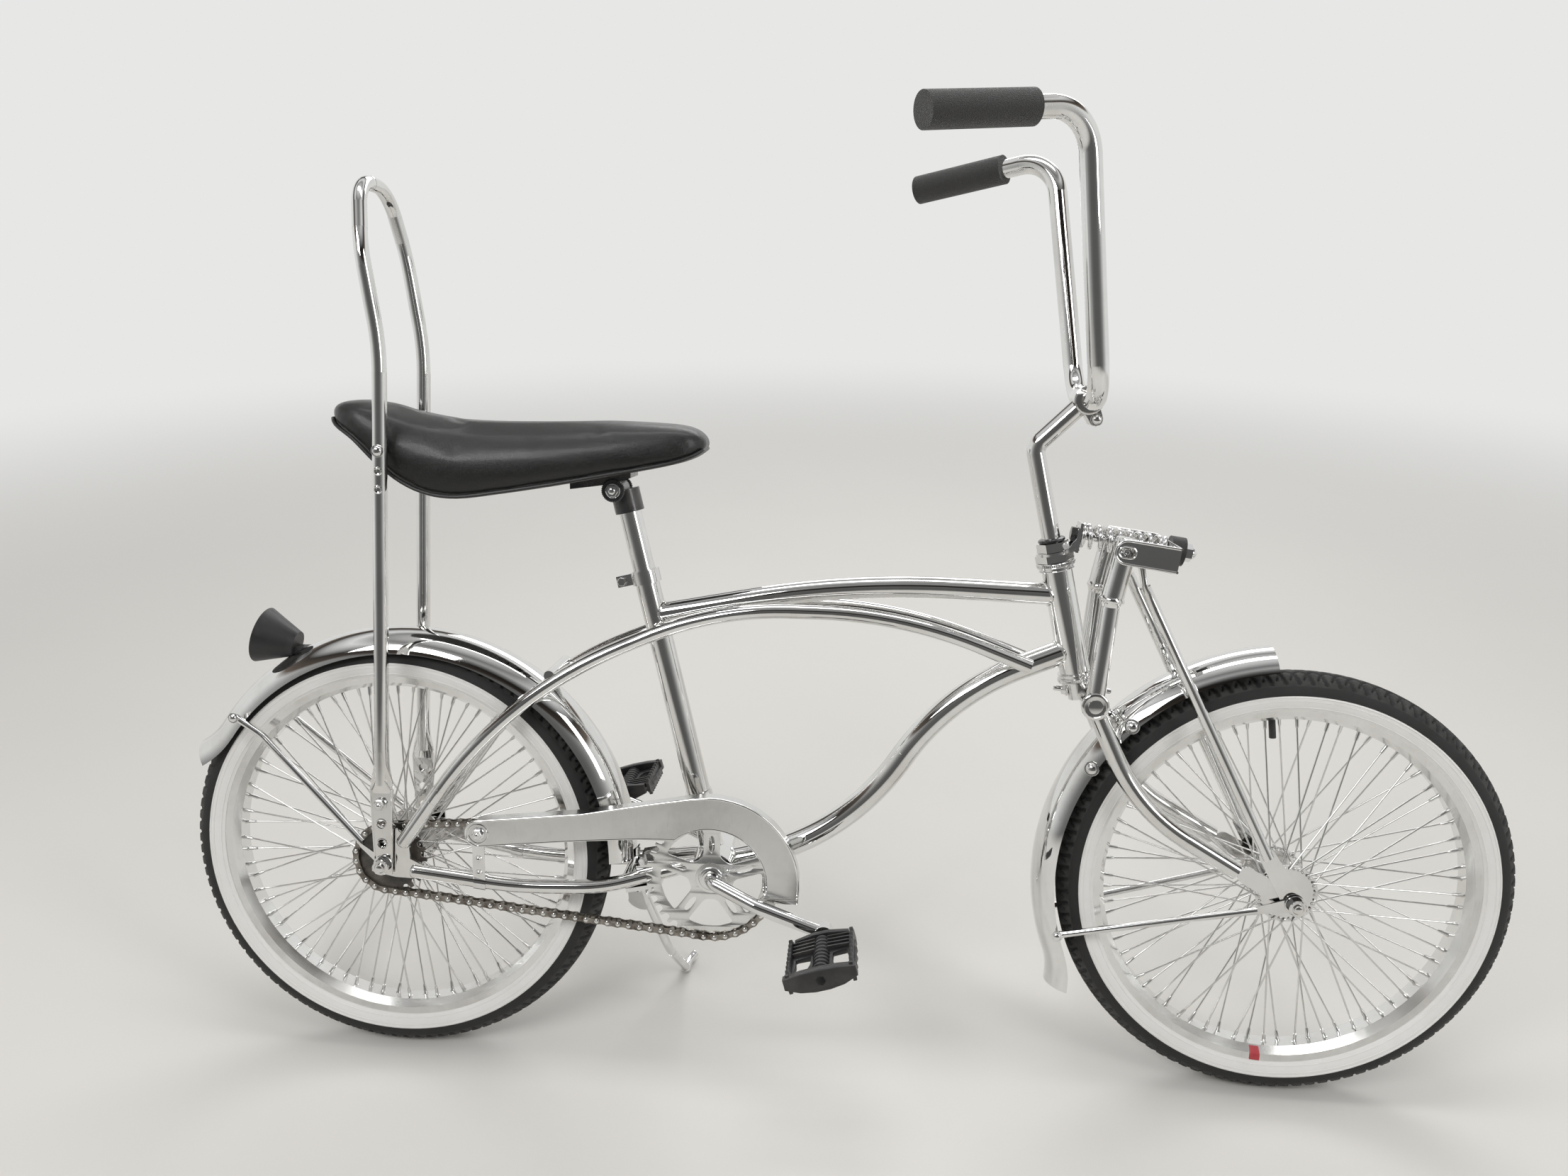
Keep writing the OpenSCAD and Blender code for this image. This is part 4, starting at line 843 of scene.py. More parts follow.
@dataclass
class Workshop:
    """Makes pieces from drafts and puts them on their bodies."""

    stance: Stance
    effects: Effects
    materials: dict[Slot, bpy.types.Material] = field(default_factory=dict)
    triangles: int = 0

    def material(self, slot: Slot) -> bpy.types.Material:
        """Returns a slot's material, made at first use."""
        if slot not in self.materials:
            self.materials[slot] = FINISHES[slot].build(self.effects)
        return self.materials[slot]

    def dress_solids(self) -> None:
        """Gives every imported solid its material."""
        for part in frame["record"]["subparts"]:
            solid = frame["nodes"][part["node"]]
            solid.data.materials.clear()
            solid.data.materials.append(self.material(Slot(part["material_slot"])))
        for node, finish in (("chain_guard", GUARD_PLATE), ("rear_sprocket", SPROCKET_PAINT)):
            solid = frame["nodes"][node]
            solid.data.materials.clear()
            solid.data.materials.append(finish.build(self.effects))

    def make(
        self,
        name: str,
        draft: Draft,
        body: Body,
        slot: Slot,
        replaces: tuple[str, ...] = (),
        material: bpy.types.Material | None = None,
        sharp: float = SHARP_ANGLE,
    ) -> bpy.types.Object:
        """Makes a piece.

        Args:
            name: the piece's name.
            draft: its points and faces.
            body: the body that it rides on.
            slot: the slot that it takes its finish from.
            replaces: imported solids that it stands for.
            material: a material of its own, where the slot's isn't meant.
            sharp: angle above which an edge stays sharp.

        Returns:
            The piece.
        """
        mesh = bpy.data.meshes.new(name)
        place = self.stance.of(body)
        mesh.from_pydata([place @ p for p in draft.points], [], draft.faces)
        if draft.values:
            mesh.attributes.new("block_top", "FLOAT", "POINT").data.foreach_set("value", draft.values)
        return self.mount(name, mesh, body, slot, replaces, material, sharp)

    def mount(
        self,
        name: str,
        mesh: bpy.types.Mesh,
        body: Body,
        slot: Slot,
        replaces: tuple[str, ...] = (),
        material: bpy.types.Material | None = None,
        sharp: float = SHARP_ANGLE,
    ) -> bpy.types.Object:
        """Puts a mesh that is already in the row frame on its body, with the arguments of make."""
        work = bmesh.new()
        work.from_mesh(mesh)
        bmesh.ops.remove_doubles(work, verts=work.verts, dist=1e-7)
        bmesh.ops.recalc_face_normals(work, faces=work.faces)
        work.to_mesh(mesh)
        work.free()
        mesh.shade_smooth()
        mesh.set_sharp_from_angle(angle=sharp)
        mesh.materials.clear()
        mesh.materials.append(material or self.material(slot))
        piece = bpy.data.objects.new(name, mesh)
        bpy.context.scene.collection.objects.link(piece)
        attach(piece, body.value)
        if replaces:
            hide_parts(*replaces)
        mesh.calc_loop_triangles()
        self.triangles += len(mesh.loop_triangles)
        LOG.info("%s: %d triangles on %s", name, len(mesh.loop_triangles), body.value)
        return piece


@dataclass
class Seat:
    """The banana seat: a padded vinyl cover over a pan, with a trim round its lower edge."""

    half_w: float = 53
    stations: tuple[tuple[float, float, float, float], ...] = (
        (-58, 0.30, 779, 768), (-46, 0.68, 786, 757), (-22, 0.90, 788, 742), (4, 0.95, 783, 717),
        (32, 0.97, 775, 696), (62, 1.00, 769, 684), (95, 1.00, 765, 681), (140, 1.00, 764, 687),
        (200, 0.98, 765, 697), (260, 0.94, 767, 708.5), (310, 0.88, 768, 718), (340, 0.80, 767, 725),
        (358, 0.64, 762, 732), (369, 0.40, 752, 740),
    )
    section: tuple[tuple[float, float], ...] = (
        (0, 0), (0.5, 0), (0.88, 0.01), (0.97, 0.08), (1, 0.24), (0.985, 0.5), (0.92, 0.74), (0.76, 0.9), (0.5, 0.975),
        (0.25, 0.995), (0, 1),
    )
    swell: float = 2.2
    cap: float = 4.0
    voxel: float = 4.5

    def rings(self, shrink: float = 0.0) -> list[list[Vector]]:
        """Lays the sections along the seat.

        Args:
            shrink: how far the sides and the crown are drawn in.

        Returns:
            One ring of points for each station.
        """
        half = smooth_rows(list(self.section), 3)
        rows = smooth_rows(list(self.stations), 4)
        out = []
        for x, share, top, low in rows:
            width = max(share * self.half_w - shrink, 4)
            right = [point(x, -s * width, low + shrink * 0.4 + h * (top - low - shrink * 1.4)) for s, h in half]
            out.append(right + [flipped(p) for p in reversed(right[1:-1])])
        return out

    def cover(self, shop: Workshop) -> bpy.types.Object:
        """Makes the cover, swelled by air pressure as its padding would swell it."""
        draft = Draft()
        rows = [draft.ring(ring) for ring in self.rings(self.swell)]
        for a, b in zip(rows, rows[1:]):
            draft.band(a, b)
        for row in (rows[0], rows[-1]):
            middle = sum((draft.points[i] for i in row), Vector()) / len(row)
            draft.band(draft.ring([middle]), row)
        mesh = bpy.data.meshes.new("seat_cover_pattern")
        place = shop.stance.of(Body.FRAME)
        mesh.from_pydata([place @ p for p in draft.points], [], draft.faces)
        work = bmesh.new()
        work.from_mesh(mesh)
        bmesh.ops.recalc_face_normals(work, faces=work.faces)
        work.to_mesh(mesh)
        work.free()
        holder = bpy.data.objects.new("seat_cover_pattern", mesh)
        bpy.context.scene.collection.objects.link(holder)
        remesh = holder.modifiers.new("even", "REMESH")
        remesh.mode = "VOXEL"
        remesh.voxel_size = self.voxel * MM
        final = self.applied(holder)
        final = self.swelled(final, shop)
        bpy.data.objects.remove(holder)
        smoother = bpy.data.objects.new("seat_cover_smooth", final)
        bpy.context.scene.collection.objects.link(smoother)
        ease = smoother.modifiers.new("ease", "SMOOTH")
        ease.factor, ease.iterations = 0.5, 3
        finer = smoother.modifiers.new("finer", "SUBSURF")
        finer.levels = finer.render_levels = 1
        final = self.applied(smoother)
        bpy.data.objects.remove(smoother)
        cover = shop.mount("seat_cover", final, Body.FRAME, Slot.VINYL, ("banana_seat",), sharp=math.radians(80))
        return cover

    @staticmethod
    def applied(holder: bpy.types.Object) -> bpy.types.Mesh:
        """Returns a copy of an object's mesh with its modifiers applied."""
        graph = bpy.context.evaluated_depsgraph_get()
        graph.update()
        return bpy.data.meshes.new_from_object(holder.evaluated_get(graph), depsgraph=graph)

    def swelled(self, mesh: bpy.types.Mesh, shop: Workshop) -> bpy.types.Mesh:
        """Blows the cover up as cloth and keeps each point within the cap.

        Args:
            mesh: the even mesh of the cover.
            shop: the workshop.

        Returns:
            The swelled mesh.
        """
        start = [v.co.copy() for v in mesh.vertices]
        holder = bpy.data.objects.new("seat_cover_cloth", mesh)
        bpy.context.scene.collection.objects.link(holder)
        down = shop.stance.of(Body.FRAME).to_3x3() @ Vector((0, 0, -1000))
        pinned = holder.vertex_groups.new(name="pan")
        pinned.add([v.index for v in mesh.vertices if v.normal.dot(down) > 0.75], 1.0, "REPLACE")
        cloth = holder.modifiers.new("cloth", "CLOTH")
        cloth.settings.quality = 4
        cloth.settings.mass = 0.3
        cloth.settings.tension_stiffness = cloth.settings.compression_stiffness = 12
        cloth.settings.bending_stiffness = 1.2
        cloth.settings.use_pressure = True
        cloth.settings.uniform_pressure_force = 4
        cloth.settings.vertex_group_mass = "pan"
        cloth.settings.effector_weights.gravity = 0
        scene = bpy.context.scene
        for number in range(1, 15):
            scene.frame_set(number)
        swollen = self.applied(holder)
        scene.frame_set(1)
        bpy.data.objects.remove(holder)
        for v, was in zip(swollen.vertices, start):
            move = v.co - was
            if move.length > self.cap * MM:
                v.co = was + move.normalized() * self.cap * MM
        return swollen

    def lower_edge(self, share: float, lift: float) -> list[Vector]:
        """Follows the cover's lower edge all the way round."""
        rows = smooth_rows(list(self.stations), 4)[2:-2]
        right = [point(x, -w * self.half_w * share, low + lift) for x, w, _, low in rows]
        return right + [flipped(p) for p in reversed(right)]

    def trim(self, shop: Workshop) -> None:
        """Makes the bead that closes the cover's lower edge, and the pan inside it."""
        draft = Draft()
        draft.sweep(self.lower_edge(0.955, 2.0), 2.1, 8, closed=True)
        shop.make("seat_trim", draft, Body.FRAME, Slot.VINYL)
        pan = Draft()
        rows = smooth_rows(list(self.stations), 4)[2:-2]
        upper, lower = [], []
        for x, w, top, low in rows:
            half = [-0.84, -0.6, -0.3, 0, 0.3, 0.6, 0.84]
            upper.append(pan.ring([point(x, s * w * self.half_w, low + 3) for s in half]))
            lower.append(pan.ring([point(x, s * w * self.half_w, low - 1.6 + 1.2 * abs(s)) for s in half]))
        for sheet in (upper, lower):
            for a, b in zip(sheet, sheet[1:]):
                pan.band(a, b, closed=False)
        for a, b in ((upper[0], lower[0]), (upper[-1], lower[-1])):
            pan.band(a, b, closed=False)
        for end in (0, -1):
            pan.band([r[end] for r in upper], [r[end] for r in lower], closed=False)
        shop.make("seat_pan", pan, Body.FRAME, Slot.CASTING, material=PAN_PAINT.build(shop.effects))

    def build(self, shop: Workshop) -> None:
        """Makes the whole seat."""
        self.cover(shop)
        self.trim(shop)


@dataclass
class Wheel:
    """Tread, sidewall ridges, nipples and spoke heads of one wheel."""

    name: str
    x: float
    body: Body
    tyre_nodes: tuple[str, ...]
    wheel_r: float = 254
    tyre_r: float = 26
    wall: float = 4
    white_r: float = 231
    rim_lip_r: float = 214
    rim_bed_r: float = 200
    spokes: int = 72
    flange_gap: float = 54
    flange_t: float = 2.5
    hole_r: float = 30.5
    spoke_d: float = 2
    spoke_tilt: float = math.radians(30)
    pitch: float = 15.2
    tread_depth: float = 2.4
    around: int = 1050
    across: int = 44

    def spot(self, r: float, y: float, angle: float) -> Vector:
        """Returns a point of the wheel by radius, side distance and angle."""
        return point(self.x + r * math.cos(angle), y, self.wheel_r + r * math.sin(angle))

    def tread_height(self, u: float, v: float) -> float:
        """Tells how deep the tread is cut.

        Args:
            u: distance round the wheel, in blocks.
            v: place across the tread, from -1 to 1.

        Returns:
            0 on top of a block, up to 1 in a groove.
        """
        side = 1 if v >= 0 else -1
        w = abs(v)
        if w > 0.94:
            return 0.0
        phase = (u + (0.5 if side > 0 else 0.0)) % 1.0
        tooth = 2 * abs(phase - 0.5)
        rib = abs(w - (0.14 + 0.16 * tooth))
        groove = min(1.0, max(0.0, 1.6 - rib / 0.05))
        if w > 0.14 + 0.16 * tooth:
            slant = (phase + 0.55 * (w - 0.3)) % 1.0
            bar = min(slant, 1 - slant)
            groove = max(groove, min(1.0, max(0.0, (0.17 - bar) / 0.05)))
            cross = (phase - 0.7 * (w - 0.3)) % 1.0
            if 0.42 < w < 0.78:
                groove = max(groove, min(1.0, max(0.0, (0.09 - min(cross, 1 - cross)) / 0.05)))
        return min(1.0, groove)

    def tyre(self, shop: Workshop) -> None:
        """Makes the black part of the tyre, with its tread cut in."""
        core = self.wheel_r - self.tyre_r
        edge = math.acos((self.white_r - core) / self.tyre_r)
        tread_edge = math.radians(58)
        draft = Draft()
        rows = []
        blocks = round(FULL * self.wheel_r / self.pitch)
        angles = [-edge + 2 * edge * k / self.across for k in range(self.across + 1)]
        inner = [edge * (1 - 2 * k / 6) for k in range(7)]
        for i in range(self.around):
            turn = FULL * i / self.around
            ring = []
            for a in angles:
                inside = abs(a) < tread_edge
                cut = self.tread_height(blocks * i / self.around, a / tread_edge) if inside else 0.0
                draft.values.append((1.0 - cut) * (1.0 if inside else 0.0))
                r = self.tyre_r - self.tread_depth * cut
                ring.append(self.spot(core + r * math.cos(a), r * math.sin(a), turn))
            for a in inner:
                r = self.tyre_r - self.wall
                draft.values.append(0.0)
                ring.append(self.spot(core + r * math.cos(a), r * math.sin(a), turn))
            rows.append(draft.ring(ring))
        for a, b in zip(rows, rows[1:] + rows[:1]):
            draft.band(a, b)
        shop.make(f"{self.name}_tread", draft, self.body, Slot.TYRE, self.tyre_nodes, sharp=math.radians(48))

    def ridges(self, shop: Workshop) -> None:
        """Makes the fine moulded ridges on the white sidewalls."""
        core = self.wheel_r - self.tyre_r
        draft = Draft()
        for r, size in ((229.4, 0.75), (225.4, 0.45), (217.6, 0.6)):
            y = math.sqrt(self.tyre_r**2 - (r - core) ** 2)
            for side in (-1, 1):
                path = [self.spot(r, side * y, FULL * k / 180) for k in range(180)]
                draft.sweep(path, size, 6, closed=True)
        shop.make(f"{self.name}_whitewall_ridges", draft, self.body, Slot.WHITE_RUBBER)

    def nipples(self, shop: Workshop) -> None:
        """Makes the spoke nipples and the rings that line the rim's holes."""
        draft = Draft()
        for i in range(self.spokes):
            side = -1 if i % 2 == 0 else 1
            way = 1 if (i // 2) % 2 == 0 else -1
            angle = i * FULL / self.spokes
            hub_angle = angle + way * self.spoke_tilt
            hub_y = self.flange_gap / 2 + way * (self.flange_t / 2 + self.spoke_d / 2 + 0.7) + 0.4
            rim = self.spot(self.rim_bed_r + 0.4, side * 3, angle)
            hub = self.spot(self.hole_r, side * hub_y, hub_angle)
            toward = hub - rim
            draft.lathe(rim, toward, [(0, 0), (3.1, 0), (3.1, 0.9), (2.1, 1.3), (1.9, 9.5), (1.5, 12), (0, 12)], 10)
            out = 1 if way > 0 else -1
            head = self.spot(self.hole_r, side * (self.flange_gap / 2 - out * (self.flange_t / 2 + 0.3)), hub_angle)
            draft.dome(head, Vector((0, -side * out, 0)), 1.9, 1.3, 8)
            bend = [
                self.spot(self.hole_r, side * self.flange_gap / 2, hub_angle),
                self.spot(self.hole_r, side * (hub_y - way * 0.6), hub_angle),
                hub.lerp(rim, 0.006),
                hub.lerp(rim, 0.016),
            ]
            draft.sweep(bend, self.spoke_d / 2, 8)
        shop.make(f"{self.name}_nipples", draft, self.body, Slot.SPOKE)

    def build(self, shop: Workshop) -> None:
        """Makes what scene dressing adds to the wheel."""
        self.tyre(shop)
        self.ridges(shop)
        self.nipples(shop)


@dataclass
class RimMark:
    """The plain red mark on the front rim's side."""

    x: float = 1038
    wheel_r: float = 254
    angle: float = math.radians(-94)
    half_turn: float = math.radians(1.55)
    profile: tuple[tuple[float, float], ...] = ((200.9, -11.6), (206.3, -19.9), (213.6, -20.4))
    thick: float = 0.7

    def build(self, shop: Workshop) -> None:
        """Makes the mark a hair proud of the rim."""
        draft = Draft()
        rows = []
        for k in range(7):
            turn = self.angle - self.half_turn + 2 * self.half_turn * k / 6
            ring = []
            for r, y in (self.profile + tuple((r, y - self.thick) for r, y in reversed(self.profile))):
                ring.append(point(self.x + r * math.cos(turn), y, self.wheel_r + r * math.sin(turn)))
            rows.append(draft.ring(ring))
        for a, b in zip(rows, rows[1:]):
            draft.band(a, b)
        draft.faces.append(tuple(rows[0]))
        draft.faces.append(tuple(reversed(rows[-1])))
        shop.make("red_rim_mark", draft, Body.FRONT_WHEEL, Slot.LENS, material=RED_MARK.build(shop.effects))


@dataclass
class SpringCoil:
    """The coil spring over the fork's head, wound from round wire with closed ends."""

    rear: tuple[float, float, float] = (787, 0, 653)
    front: tuple[float, float, float] = (880, 0, 640)
    outer_d: float = 30
    wire_d: float = 5
    turns: int = 8
    steps: int = 36
    end_turns: float = 0.75

    def build(self, shop: Workshop) -> None:
        """Makes the coil."""
        a, b = Vector(self.rear), Vector(self.front)
        u, v, w = basis(b - a)
        reach = (b - a).length - self.wire_d
        mid = (self.outer_d - self.wire_d) / 2
        total = self.turns + 2 * self.end_turns
        count = int(total * self.steps)
        path = []
        for k in range(count + 1):
            turn = total * k / count
            inner = min(max(turn - self.end_turns, 0), self.turns)
            rise = reach * inner / self.turns
            angle = FULL * turn + 0.5
            rise = min(rise, reach)
            path.append(a + w * (self.wire_d / 2 + rise) + (u * math.cos(angle) + v * math.sin(angle)) * mid)
        draft = Draft()
        draft.sweep(path, self.wire_d / 2, 12)
        shop.make("coil_spring", draft, Body.FORK, Slot.FITTINGS, ("spring",), sharp=math.radians(60))


@dataclass
class Welds:
    """Beads of weld where the frame's tubes meet."""

    bead_r: float = 1.9

    def build(self, shop: Workshop) -> None:
        """Makes the beads."""
        head_low, head_top = point(790.9, 0, 496), point(763.9, 0, 613)
        head_axis = head_top - head_low
        crank = point(381, 0, 246)
        seat_top = point(295, 0, 600)
        seat_axis = seat_top - crank
        across = Vector((0, 1, 0))
        joints = [
            # end of the first tube, direction away from the joint, radius, point, direction and radius of the second
            (point(760, 0, 584.5), point(533, 0, 591.6) - point(760, 0, 584.5), 12.5, head_low, head_axis, 17),
            (point(790, 0, 524.3), point(649.3, 0, 465.2) - point(790, 0, 524.3), 14.3, head_low, head_axis, 17),
            (point(306, 0, 547), point(533, 0, 591.6) - point(306, 0, 547), 12.5, crank, seat_axis, 14),
            (crank, seat_axis, 14, crank, across, 27),
            (point(385, 0, 246.5), point(532.6, 0, 284.3) - point(385, 0, 246.5), 14.3, crank, across, 27),
        ]
        draft = Draft()
        for number, joint in enumerate(joints):
            draft.bead(*joint, self.bead_r, number)
        shop.make("frame_welds", draft, Body.FRAME, Slot.FRAME)


class Head(Enum):
    """Kinds of fastener."""

    HEX = "hex"
    DOME = "dome"
    CAP = "cap"
    SCREW = "screw"
    STUD = "stud"


@dataclass(frozen=True)
class Fastener:
    """One nut, bolt head or cap."""

    at: tuple[float, float, float]
    way: tuple[float, float, float]
    kind: Head
    size: float
    body: Body
    both: bool = False
    washer: float = 0.0


@dataclass
class Fasteners:
    """Nuts, bolts and caps, one piece for each body that carries them."""

    rear_nut_y: float = 75.5
    front_nut_y: float = 67.5
    table: tuple[Fastener, ...] = (
        Fastener((16.6, -72.4, 733), (0.1, -1, 0), Head.DOME, 5.6, Body.FRAME, both=True, washer=6.8),
        Fastener((16.2, -72.1, 711), (0.1, -1, 0), Head.SCREW, 4.6, Body.FRAME, both=True),
        Fastener((15.5, -72.1, 691), (0.1, -1, 0), Head.SCREW, 4.6, Body.FRAME, both=True),
        Fastener((0, -66.5, 328), (0, -1, 0), Head.HEX, 11, Body.FRAME, both=True, washer=7.5),
        Fastener((112, -61.5, 295), (0, -1, 0), Head.HEX, 10, Body.FRAME, washer=7.5),
        Fastener((784, 0, 474), (-1, 0, 0.1), Head.HEX, 11, Body.FORK, washer=8),
        Fastener((778, 0, 474.6), (-1, 0, 0.1), Head.STUD, 3, Body.FORK),
        Fastener((817.5, 0, 476), (1, 0, -0.15), Head.HEX, 10, Body.FORK, washer=7.5),
        Fastener((823, 0, 475.2), (1, 0, -0.15), Head.STUD, 3, Body.FORK),
        Fastener((853.2, -30.4, 442.5), (-0.3, -1, 0.3), Head.DOME, 6.5, Body.FORK, both=True, washer=8.5),
        Fastener((812.3, -30.4, 391), (-0.35, -1, 0.2), Head.DOME, 6.5, Body.FORK, both=True, washer=8.5),
        Fastener((-182, -42, 417), (0, -1, 0), Head.DOME, 4.6, Body.FRAME, both=True, washer=6.2),
        Fastener((784, -41, 190), (0, -1, 0), Head.DOME, 4.6, Body.FORK, both=True, washer=6.2),
    )

    def add(self, draft: Draft, item: Fastener) -> None:
        """Adds one fastener to a draft."""
        at, way = Vector(item.at), Vector(item.way)
        for side in ((1, -1) if item.both else (1,)):
            origin = at if side > 0 else flipped(at)
            direction = way if side > 0 else flipped(way)
            if item.washer:
                draft.washer(origin, direction, item.washer)
                origin = origin + direction.normalized() * 1.1
            if item.kind is Head.HEX:
                draft.hexagon(origin, direction, item.size, item.size * 0.5)
                draft.dome(origin + direction.normalized() * item.size * 0.48, direction, item.size * 0.3, item.size * 0.22, 14)
            elif item.kind is Head.STUD:
                draft.lathe(origin, direction, [(0, 0), (item.size, 0), (item.size, 9), (item.size * 0.7, 10), (0, 10)], 14)
            elif item.kind is Head.SCREW:
                r = item.size
                draft.lathe(origin, direction, [(r * 0.5, 0), (r, 0), (r * 1.05, 0.8), (r * 0.8, 1.4), (r * 0.5, 1.0), (r * 0.5, 0)], 18)
            else:
                draft.dome(origin, direction, item.size, item.size * (0.7 if item.kind is Head.DOME else 0.4))

    def axle_caps(self, draft: Draft, x: float, y: float) -> None:
        """Adds the washers and the rounded thread ends of an axle."""
        for side in (-1, 1):
            origin = point(x, side * (y - 9.3), 254)
            out = Vector((0, side, 0))
            draft.washer(origin, out, 11.4, 1.3)
            draft.lathe(origin + out * 9.4, out, [(9.3, -2.0), (9.3, -0.6), (8.5, 0.4), (6.2, 0.5), (5.6, -0.4), (4.9, -0.5)], 24)
            draft.dome(origin + out * 11.0, out, 4.7, 1.9, 18)

    def build(self, shop: Workshop) -> None:
        """Makes the fasteners of every body."""
        for body in (Body.FRAME, Body.FORK):
            draft = Draft()
            for item in self.table:
                if item.body is body:
                    self.add(draft, item)
            if body is Body.FRAME:
                self.axle_caps(draft, 0, self.rear_nut_y)
            else:
                self.axle_caps(draft, 1038, self.front_nut_y)
            shop.make(f"{body.value}_fasteners", draft, body, Slot.FITTINGS)


@dataclass
class Springer:
    """Trim of the springer's head: yoke rims, pin ends, perch webs, nuts and the headset's rings."""

    front: tuple[float, float, float] = (880, 0, 640)
    rear: tuple[float, float, float] = (787, 0, 653)
    pin_x: float = 4.1
    pin_z: float = -50.9
    half_h: float = 13.5
    plate_out: float = 59.8
    front_z: float = 4.4
    rim: float = 1.5
    head_top: tuple[float, float, float] = (763.9, 0, 613)
    head_len: float = 120.0

    def spot(self, x: float, y: float, z: float) -> Vector:
        """Returns a point of the yoke's own frame: down, across and along the spring."""
        along = (Vector(self.front) - Vector(self.rear)).normalized()
        down = Vector((along.z, 0, -along.x))
        return Vector(self.front) + down * x + Vector((0, y, 0)) + along * z

    def yoke(self, shop: Workshop) -> None:
        """Makes the rolled rims of the yoke, its slots' rims and the pins' flat ends."""
        draft = Draft()
        reach = self.half_h - self.rim * 0.6
        for side in (-1, 1):
            y = side * (self.plate_out - 0.4)
            path = [self.spot(self.pin_x - reach, y, self.front_z - 1.4)]
            for k in range(19):
                a = math.pi * k / 18
                path.append(self.spot(self.pin_x - reach * math.cos(a), y, self.pin_z - reach * math.sin(a)))
            path.append(self.spot(self.pin_x + reach, y, self.front_z - 1.4))
            draft.sweep(path, self.rim, 10)
            oval = []
            for k in range(28):
                a = FULL * k / 28
                shift = 3 if math.cos(a) > 0 else -3
                oval.append(self.spot(self.pin_x + 6.2 * math.sin(a), side * self.plate_out, self.pin_z + shift + 6.2 * math.cos(a)))
            draft.sweep(oval, 0.9, 8, closed=True)
            pin = self.spot(self.pin_x, side * (self.plate_out - 1.6), self.pin_z)
            draft.lathe(pin, Vector((0, side, 0)), [(0, 0), (4.3, 0), (4.3, 1.0), (3.6, 1.7), (2.2, 1.7), (1.9, 1.2), (0, 1.2)], 24)
        for edge in (-1, 1):
            path = [self.spot(self.pin_x + edge * reach, y, self.front_z - 0.2) for y in (-58.6, -20, 20, 58.6)]
            draft.sweep(path, self.rim, 10)
        shop.make("yoke_rims", draft, Body.FORK, Slot.FITTINGS)

    def perch(self, shop: Workshop) -> None:
        """Makes the webs of the cast perch and the black nut behind it."""
        cast, nut = Draft(), Draft()
        axis = Vector(self.head_top) - Vector((790.9, 0, 496))
        up = axis.normalized()
        ahead = Vector((up.z, 0, -up.x))
        base = Vector(self.head_top) + up * 19.8
        along = (Vector(self.front) - Vector(self.rear)).normalized()
        top = Vector(self.rear) - along * 1.6
        down = Vector((along.z, 0, -along.x))
        for y in (-11.5, 11.5):
            outline = [base + ahead * 12, base + ahead * 26, top + down * 17 + along * 1.2, top - down * 6 + along * 1.2]
            outline += [top - down * 9 - along * 2.4, top + down * 4 - along * 3.4]
            sheet = [(p.x, p.z) for p in outline]
            cast.block(sheet, -1.7, 1.7, side_view(0, y, 0), 0.5)
        cast.lathe(top - along * 0.4, -along, [(0, 0), (10.5, 0), (10.5, 1.2), (9.4, 2.2), (0, 2.2)], 28)
        shop.make("perch_webs", cast, Body.FORK, Slot.FITTINGS)
        nut.hexagon(top - along * 2.6, -along, 15, 6.4)
        ring = [(10.7, 32.0), (14.2, 32.0), (15.2, 33.0), (15.2, 35.0), (13.2, 36.4), (10.7, 36.4), (10.7, 32.0)]
        nut.lathe(Vector(self.head_top), up, ring, 36)
        shop.make("spring_nut_and_seal", nut, Body.FORK, Slot.CASTING)

    def knurls(self, shop: Workshop) -> None:
        """Makes the knurled bands and rolled lips of the bearing cups."""
        draft = Draft()
        up = (Vector(self.head_top) - Vector((790.9, 0, 496))).normalized()
        u, v, w = basis(up)
        for height, r in ((5.6, 21.2), (-self.head_len - 9.2, 20.2)):
            rows = []
            for h, proud in ((0.0, -0.3), (0.5, 0.5), (2.9, 0.5), (3.4, -0.3)):
                places = []
                for k in range(120):
                    a = FULL * k / 120
                    tooth = proud if k % 2 else proud * 0.2 - 0.1
                    places.append(Vector(self.head_top) + w * (height + h) + (u * math.cos(a) + v * math.sin(a)) * (r + tooth))
                rows.append(places)
            draft.loft(rows, ends=False)
        for height, r in ((0.6, 19.2), (4.9, 20.4), (-self.head_len - 0.6, 19.2), (-self.head_len - 5.1, 19.6)):
            path = [Vector(self.head_top) + w * height + (u * math.cos(FULL * k / 48) + v * math.sin(FULL * k / 48)) * r for k in range(48)]
            draft.sweep(path, 0.8, 8, closed=True)
        shop.make("cup_knurls", draft, Body.FRAME, Slot.FITTINGS)

    def build(self, shop: Workshop) -> None:
        """Makes the springer's trim."""
        self.yoke(shop)
        self.perch(shop)
        self.knurls(shop)


